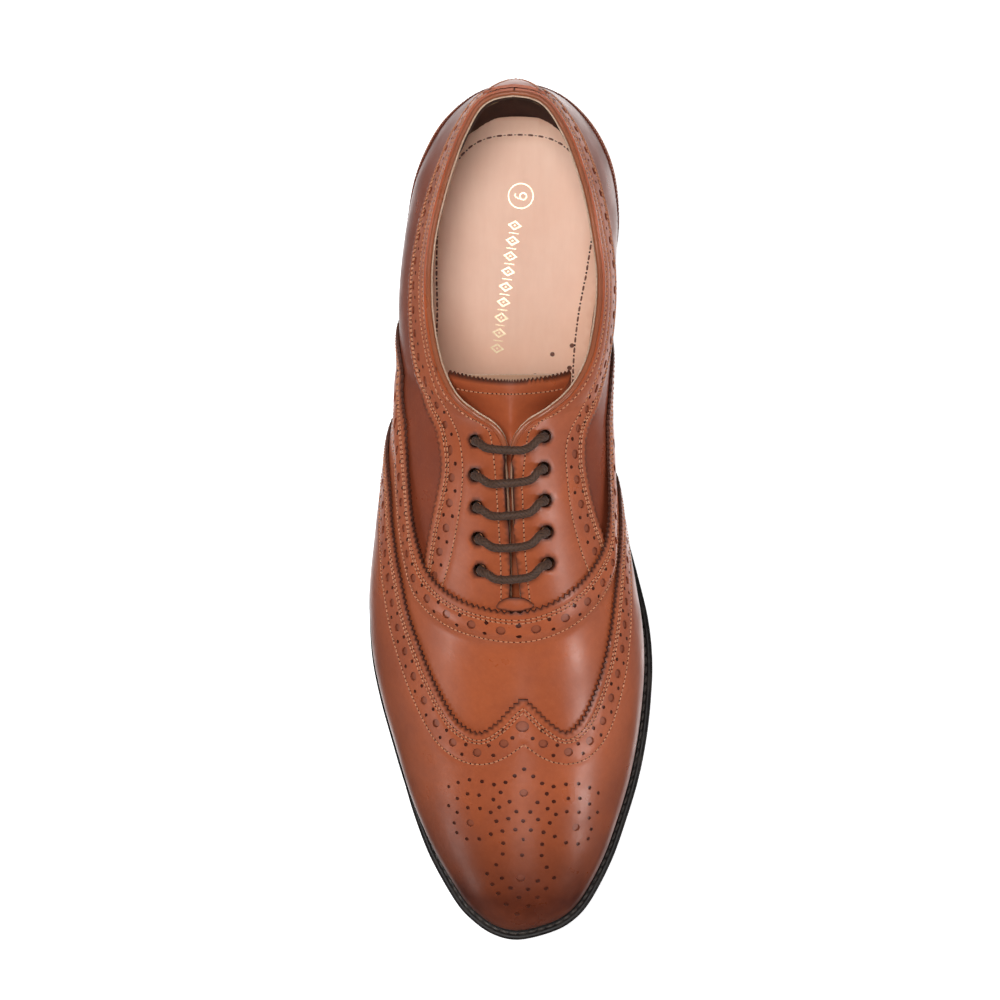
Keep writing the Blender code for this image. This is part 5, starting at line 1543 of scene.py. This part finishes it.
def build_bottom():
    outline = resample(joined(tucked(SOLE_EDGE)), 481)[:-1]
    low = OUTSOLE_T + GAP
    profile = [(0.5, OUTSOLE_T), (0.05, 4.6), (0.0, 2.4), (0.15, 0.5), (0.7, 0.0)]
    outsole = plate("outsole_edge_and_tread", outline, profile, tread_of, ("heel", "rubber"))
    settle(outsole, "sole_rubber", "outsole")

    def inner(line):
        return feather_width(line) + 4.0

    def beside(line):
        return feather_width(line) - 0.6

    profile = [(0.25, 0.0), (0.0, 0.35), (0.0, 1.9), (0.25, 2.45), (0.8, 2.7), (1.5, 2.7), (1.85, 2.45),
               (2.6, 2.4), (3.0, 2.65), (beside, 2.7), (inner, 2.7), (inner, 0.0)]  # fmt: skip
    sections = ringed(outline, profile, lambda p: tread_of(p) + low)
    welt = sweep("welt_strip", sections, ["welt"], closed_path=True, sharp=60)
    settle(welt, "welt_leather", "welt")
    seam = joined(inset(tucked(SOLE_EDGE), 2.25))
    stitching = Stitching()
    stitching.row(seam, lambda p: np.full(len(p), -0.15), Ground(low + 2.55), pitch=3.3, radius=0.42,
                  share=0.86, hole=0.0, slant=0.12)  # fmt: skip
    settle(stitching.build("welt_stitching", ("welt_thread", "needle_shade")), "welt_leather")


HEEL_NAILS = [(4.0, 135.5), (-17.5, 124.0), (25.5, 124.5), (-21.5, 99.0), (28.5, 99.5)]
HEEL_LAYERS = [  # name, bottom and top; the last reaches up to the outsole
    ("top_piece", 0.0, 6.0), ("heel_lift_1", 6.3, 11.2), ("heel_lift_2", 11.5, 16.4),
    ("heel_lift_3", 16.7, None),
]  # fmt: skip
NAIL_R = 1.4


def heel_ring(shrink):
    """Outline of a heel layer: the sole's edge behind the breast, and the hollow breast line."""
    edge = inset(tucked(SOLE_EDGE), shrink)
    back = edge[edge[:, 1] > HEEL_BREAST_Y + 1.5]
    start = np.argmax(np.linalg.norm(np.diff(joined(back), axis=0), axis=1))
    back = np.roll(back, -start - 1, axis=0)
    across = np.linspace(1, -1, 40)[1:-1]
    middle, half = (back[0] + back[-1]) / 2, (back[-1, 0] - back[0, 0]) / 2
    breast = np.column_stack([middle[0] + across * half, HEEL_BREAST_Y + 3.0 * (1 - across**2)])
    ring = np.vstack([back, breast])
    x, y = ring[:, 0], ring[:, 1]
    area = np.sum(x * np.roll(y, -1) - np.roll(x, -1) * y)
    return ring if area > 0 else ring[::-1]


class Level(Ground):
    """A level plane at a height."""

    def surface(self, points):
        up = np.tile((0.0, 0.0, 1.0), (len(points), 1))
        return np.column_stack([points, np.full(len(points), self.rise)]), up


def build_heel():
    for layer, (name, low, high) in enumerate(HEEL_LAYERS):
        ring = heel_ring(1.6 - 0.3 * layer)
        if layer == 0:
            piece = Panel((low, high), Level(0.0))
            piece.EDGE_DROP = 0.3
            rings = [ring] + [circle(spot, NAIL_R + GAP, 16) for spot in HEEL_NAILS]
            obj = piece.build("heel_top_piece", rings, ("rubber",) * 4, 3.0)
            settle(obj, "sole_rubber", name)
            continue
        base = low - 0.12

        def height(points, top=high):
            return tread_of(points) - GAP if top is None else np.full(len(points), top + 0.12)

        head = ringed(ring, [(0.22, 0.0), (0.0, -0.35)], height)
        foot = ringed(ring, [(0.0, 0.35), (0.22, 0.0)], lambda p, z=base: np.full(len(p), z))
        sections = np.concatenate([head, foot], axis=1)
        obj = capped(name + "_stack", sections, ("heel", "heel"))
        settle(obj, "welt_leather", name)
    for number, spot in enumerate(HEEL_NAILS, start=1):
        profile = [(0.0, 0.25), (1.15, 0.25), (1.38, 0.42), (NAIL_R, 0.7), (NAIL_R, 10.6), (1.1, 11.0),
                   (0.0, 11.0)]  # fmt: skip
        obj = lathe(f"heel_nail_head_{number}", (*spot, 0.0), (0, 0, 1), profile, ["brass"])
        settle(obj, "nail_brass", f"heel_nail_{number}")


def capped(name, sections, looks):
    """A plate from ready sections, its two faces filled with triangles."""
    count, rows = sections.shape[:2]
    verts, faces = [sections.reshape(-1, 3)], band_faces(count, rows)
    shades = [0] * len(faces)
    total = count * rows
    for r in (0, rows - 1):
        ring = sections[:, r]
        flat, tris = triangulate(Ground(0.0), [ring[:, :2]], [], 400.0)
        where = KDTree(count)
        for k, p in enumerate(ring):
            where.insert((p[0], p[1], 0), k)
        where.balance()
        z = np.array([ring[where.find((p[0], p[1], 0))[1], 2] for p in flat])
        verts.append(np.column_stack([flat, z]))
        faces += (tris + total).tolist()
        shades += [1] * len(tris)
        total += len(flat)
    obj = make_object(name, np.vstack(verts), faces, looks, shades)
    weld(obj)
    return obj


def lathe(name, origin, axis, profile, looks, sides=24, closed=False):
    """A turned piece: profile rows are (radius, distance along the axis)."""
    axis = Vector(axis).normalized()
    turned = axis.to_track_quat("Z", "Y")
    verts, faces = [], []
    n = len(profile)
    for k in range(sides):
        angle = 2 * math.pi * k / sides
        for radius, level in profile:
            local = Vector((radius * math.cos(angle), radius * math.sin(angle), level))
            verts.append(np.array(turned @ local) + origin)
        after = (k + 1) % sides
        for j in range(n if closed else n - 1):
            step = (j + 1) % n
            faces.append((k * n + j, after * n + j, after * n + step, k * n + step))
    obj = make_object(name, verts, faces, looks)
    weld(obj)
    return obj


def build_eyelets():
    """Blind eyelets: a barrel in the facing with its flange hidden under it."""
    profile = [(1.8, 0.3), (2.1, 0.2), (2.25, 0.35), (2.25, 3.42), (3.1, 3.42), (3.1, 3.62), (2.25, 3.66),
               (2.2, 4.2), (2.0, 4.32), (1.82, 4.2)]  # fmt: skip
    for side, name in SIDES:
        for row, spot in enumerate(eyelet_spots(side), start=1):
            base, normal = LAST.surface(spot[None])
            barrel = f"eyelet_barrel_{name}_{row}"
            obj = lathe(barrel, base[0], normal[0], profile, ["lacquer"], closed=True)
            settle(obj, "eyelet_metal", f"eyelet_{name}_{row}")


# ---- the lace: its route repeats the CAD's, as pattern points and levels over the last ----
LACE_D = 2.9
UNDER, OVER, TAIL = -2.3, 7.2, -2.8
TAIL_LATERAL = [
    (-10.5, 24.0), (-17, 24), (-26, 25), (-36, 27), (-47, 29.5), (-57, 29), (-66, 26), (-72.5, 19),
    (-74, 9), (-71.5, -3), (-68.5, -15), (-65.5, -27), (-61.5, -40), (-57.5, -52), (-53, -65), (-49, -78),
]  # fmt: skip
TAIL_MEDIAL = [
    (18.5, 17), (24, 17.6), (33, 18), (43, 18), (54, 17), (64, 14), (72, 8), (76, -2), (74.5, -14),
    (70, -26), (65.5, -38), (61.5, -50), (57, -62), (53, -74), (49, -86),
]  # fmt: skip
AGLETS = [(-44.5, -90.0), (44.5, -98.0)]
AGLET_LEVEL = -4.6
STRANDS, STRAND_PITCH, STRAND_RISE = 6, 1.45, 0.34  # braided strands each way round


def lace_pass(spot, under, over):
    """Up through an eyelet: from under the facing on one side of it to over it on the other."""
    spot, under, over = (np.array(v, float) for v in (spot, under, over))
    under, over = unit(under), unit(over)
    return [
        (*(spot + under * 2.4), UNDER), (*(spot + under * 0.7), -1.6), (*spot, -0.1),
        (*(spot + over * 0.25), 4.6), (*(spot + over * 1.5), 6.1), (*(spot + over * 3.2), OVER),
    ]  # fmt: skip


def lace_bar(start, end, sag=2.6):
    """Across the slit between two eyelets of a row, sagging towards the toe."""
    start, end = np.array(start), np.array(end)
    stops = (0.3, 0.5, 0.7)
    return [(*(start + (end - start) * t - (0, sag * (1 - (2 * t - 1) ** 2))), OVER + 0.4) for t in stops]


def lace_route():
    """Pattern points with a level each, from the lateral tip through all eyelets to the medial tip."""
    left, right = eyelet_spots(-1), eyelet_spots(1)
    out, heel = np.array([1.0, 0.0]), np.array([0.0, 1.0])
    route = [(*p, TAIL) for p in TAIL_LATERAL[::-1]]
    # passes and bars from the top row down on one side, and back up over the rows between
    route += lace_pass(left[4], -out, out) + lace_bar(left[4], right[4])
    route += lace_pass(right[4], -out * 0.7 - heel, -out)[::-1]
    route += [(*(right[3] - out * 4.0), UNDER)]
    route += lace_pass(right[2], -out * 0.7 + heel, -out) + lace_bar(right[2], left[2])
    route += lace_pass(left[2], -out * 0.7 - heel, out)[::-1]
    route += [(*(left[1] - out * 4.0), UNDER)]
    route += lace_pass(left[0], -out * 0.7 + heel, out) + lace_bar(left[0], right[0])
    route += lace_pass(right[0], heel, -out)[::-1]
    route += lace_pass(right[1], -heel, -out) + lace_bar(right[1], left[1])
    route += lace_pass(left[1], out * 0.7 + heel, out)[::-1]
    route += [(*(left[2] + out * 4.0), UNDER)]
    route += lace_pass(left[3], out * 0.7 - heel, out) + lace_bar(left[3], right[3])
    route += lace_pass(right[3], out, -out)[::-1]
    route += [(*p, TAIL) for p in TAIL_MEDIAL]
    return np.array(route)


def carried_frames(line):
    """Two directions across a line, carried along it without twist."""
    ahead = directions(line)
    side = np.cross(ahead[0], (0.2, 0.1, 1.0))
    sides = []
    for t in ahead:
        side = unit(side - t * (side @ t))
        sides.append(side)
    sides = np.array(sides)
    return sides, np.cross(ahead, sides)


def build_lace():
    route = lace_route()
    knots = LAST.place(route[:, :2], route[:, 2])
    line = smooth_curve(knots, step=0.3)
    run = lengths(line)
    one, two = carried_frames(line)
    turn = np.arange(24) * 2 * math.pi / 24
    around = STRANDS * turn[None] / (2 * math.pi)
    along = run[:, None] / STRAND_PITCH
    a, b = around + along, around - along
    lay_a = np.sqrt(np.clip(1 - (2 * (a % 1) - 1) ** 2, 0, 1))
    lay_b = np.sqrt(np.clip(1 - (2 * (b % 1) - 1) ** 2, 0, 1))
    over_a = (np.floor(a) + np.floor(b)) % 2 == 0
    strand = np.where(over_a, lay_a, lay_b)
    radius = LACE_D / 2 - STRAND_RISE + STRAND_RISE * strand
    ring = one[:, None] * np.cos(turn)[None, :, None] + two[:, None] * np.sin(turn)[None, :, None]
    sections = line[:, None] + ring * radius[..., None]
    lace = sweep("lace_braid", sections, ["lace"], attributes={"strand": strand.ravel()}, sharp=180)
    settle(lace, "lace_cotton", "lace")
    profile = [(0.0, 0.3), (1.25, 0.3), (1.5, 0.5), (1.5, 2.2), (1.38, 2.5), (1.5, 2.8), (1.5, 12.2),
               (1.3, 13.4), (0.9, 14.0), (0.0, 14.05)]  # fmt: skip
    for (_, name), tail, lead in zip(SIDES, (knots[0], knots[-1]), AGLETS):
        tip = LAST.place(np.array([lead]), AGLET_LEVEL)[0]
        obj = lathe(f"aglet_tip_{name}", tail, tip - tail, profile, ["plastic"])
        settle(obj, "aglet_plastic", f"aglet_{name}")


# ---- what the camera needs ----
def build_floor():
    mesh = bpy.data.meshes.new("floor")
    reach = 40.0
    corners = [(-reach, -reach, 0), (reach, -reach, 0), (reach, reach, 0), (-reach, reach, 0)]
    mesh.from_pydata(corners, [], [(0, 1, 2, 3)])
    floor = bpy.data.objects.new("floor", mesh)
    bpy.context.scene.collection.objects.link(floor)
    s = Shader("pale_floor")
    s.set(Base_Color=(0.92, 0.92, 0.92), Roughness=0.9, Specular_IOR_Level=0.1)
    s.set(Emission_Color=(1.0, 1.0, 1.0), Emission_Strength=0.85)
    mesh.materials.append(s.material)
    floor.visible_glossy = False  # a shine on the leather comes from the lights alone


def softbox(name, place, size, radiance, aim=(0, -0.02, 0.04)):
    """A soft rectangular light: its power follows from its size and how bright its face is."""
    light = bpy.data.lights.new(name, "AREA")
    light.shape, light.size, light.size_y = "RECTANGLE", size[0], size[1]
    light.energy = radiance * math.pi * size[0] * size[1]
    lamp = bpy.data.objects.new(name, light)
    bpy.context.scene.collection.objects.link(lamp)
    lamp.location = place
    lamp.rotation_euler = (Vector(aim) - Vector(place)).to_track_quat("-Z", "Y").to_euler()


WORLD_RAMP = (-0.985, -0.82, 2.0, 0.04)  # light from straight below, falling off to the sides


def build_studio():
    world = bpy.data.worlds.new("studio")
    world.use_nodes = True
    nodes, links = world.node_tree.nodes, world.node_tree.links
    way = nodes.new("ShaderNodeTexCoord").outputs["Generated"]
    split = nodes.new("ShaderNodeSeparateXYZ")
    ramp = nodes.new("ShaderNodeMapRange")
    ramp.interpolation_type = "SMOOTHSTEP"
    for socket, value in zip(("From Min", "From Max", "To Min", "To Max"), WORLD_RAMP):
        ramp.inputs[socket].default_value = value
    links.new(way, split.inputs[0])
    links.new(split.outputs["Z"], ramp.inputs["Value"])
    background = nodes["Background"]
    background.inputs["Color"].default_value = (1.0, 1.0, 1.0, 1)
    links.new(ramp.outputs[0], background.inputs["Strength"])
    bpy.context.scene.world = world
    softbox("strip_right", (1.08, -0.62, 0.40), (0.15, 0.36), 17.0)
    softbox("strip_left", (-0.98, -0.69, 0.12), (0.22, 0.22), 7.0)
    softbox("front", (0.02, -1.0, 1.30), (0.42, 0.30), 4.0)
    softbox("overhead", (-0.10, 0.16, 1.70), (0.60, 0.60), 19.0)
    bpy.context.scene.view_settings.view_transform = "Standard"


CAMERA_FAR, CAMERA_LEAN, CAMERA_Y = 2.5, math.radians(2.5), 0.00115
VIEW_WIDTH = 0.3512  # metres across the picture at the origin


def build_camera():
    camera = bpy.data.objects.new("camera", bpy.data.cameras.new("camera"))
    bpy.context.scene.collection.objects.link(camera)
    camera.location = (CAMERA_FAR * math.sin(CAMERA_LEAN), CAMERA_Y, CAMERA_FAR * math.cos(CAMERA_LEAN))
    camera.rotation_euler = (0, CAMERA_LEAN, 0)
    camera.data.sensor_width = 36
    camera.data.lens = 36 * CAMERA_FAR / VIEW_WIDTH
    camera.data.shift_x, camera.data.shift_y = -0.0105, 0.008
    camera.data.clip_start, camera.data.clip_end = 0.1, 100
    bpy.context.scene.camera = camera


def dress_hidden_nodes():
    """The pieces inside the shoe keep their CAD shapes and only get a look."""
    looks = {"toe_puff": "board", "heel_stiffener": "board", "insole_board": "board", "bottom_filler": "cork",
             "shank": "steel"}  # fmt: skip
    for node, look in looks.items():
        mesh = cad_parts[node].data
        mesh.materials.clear()
        mesh.materials.append(LOOKS[look])


def build_shoe():
    stitching = Stitching()
    build_wing_cap(stitching)
    build_vamp(stitching)
    for side, name in SIDES:
        build_quarter(side, name, stitching)
    build_back(stitching)
    build_throat_tab()
    settle(stitching.build("upper_stitching"), "tan_leather")
    on_tongue = Stitching()
    build_tongue(on_tongue)
    settle(on_tongue.build("tongue_stitching"), "tan_leather", body="tongue")
    build_linings()
    build_mouth_edge()
    build_sock()
    build_bottom()
    build_heel()
    build_eyelets()
    dress_hidden_nodes()


build_camera()
build_lace()
build_shoe()
build_floor()
build_studio()
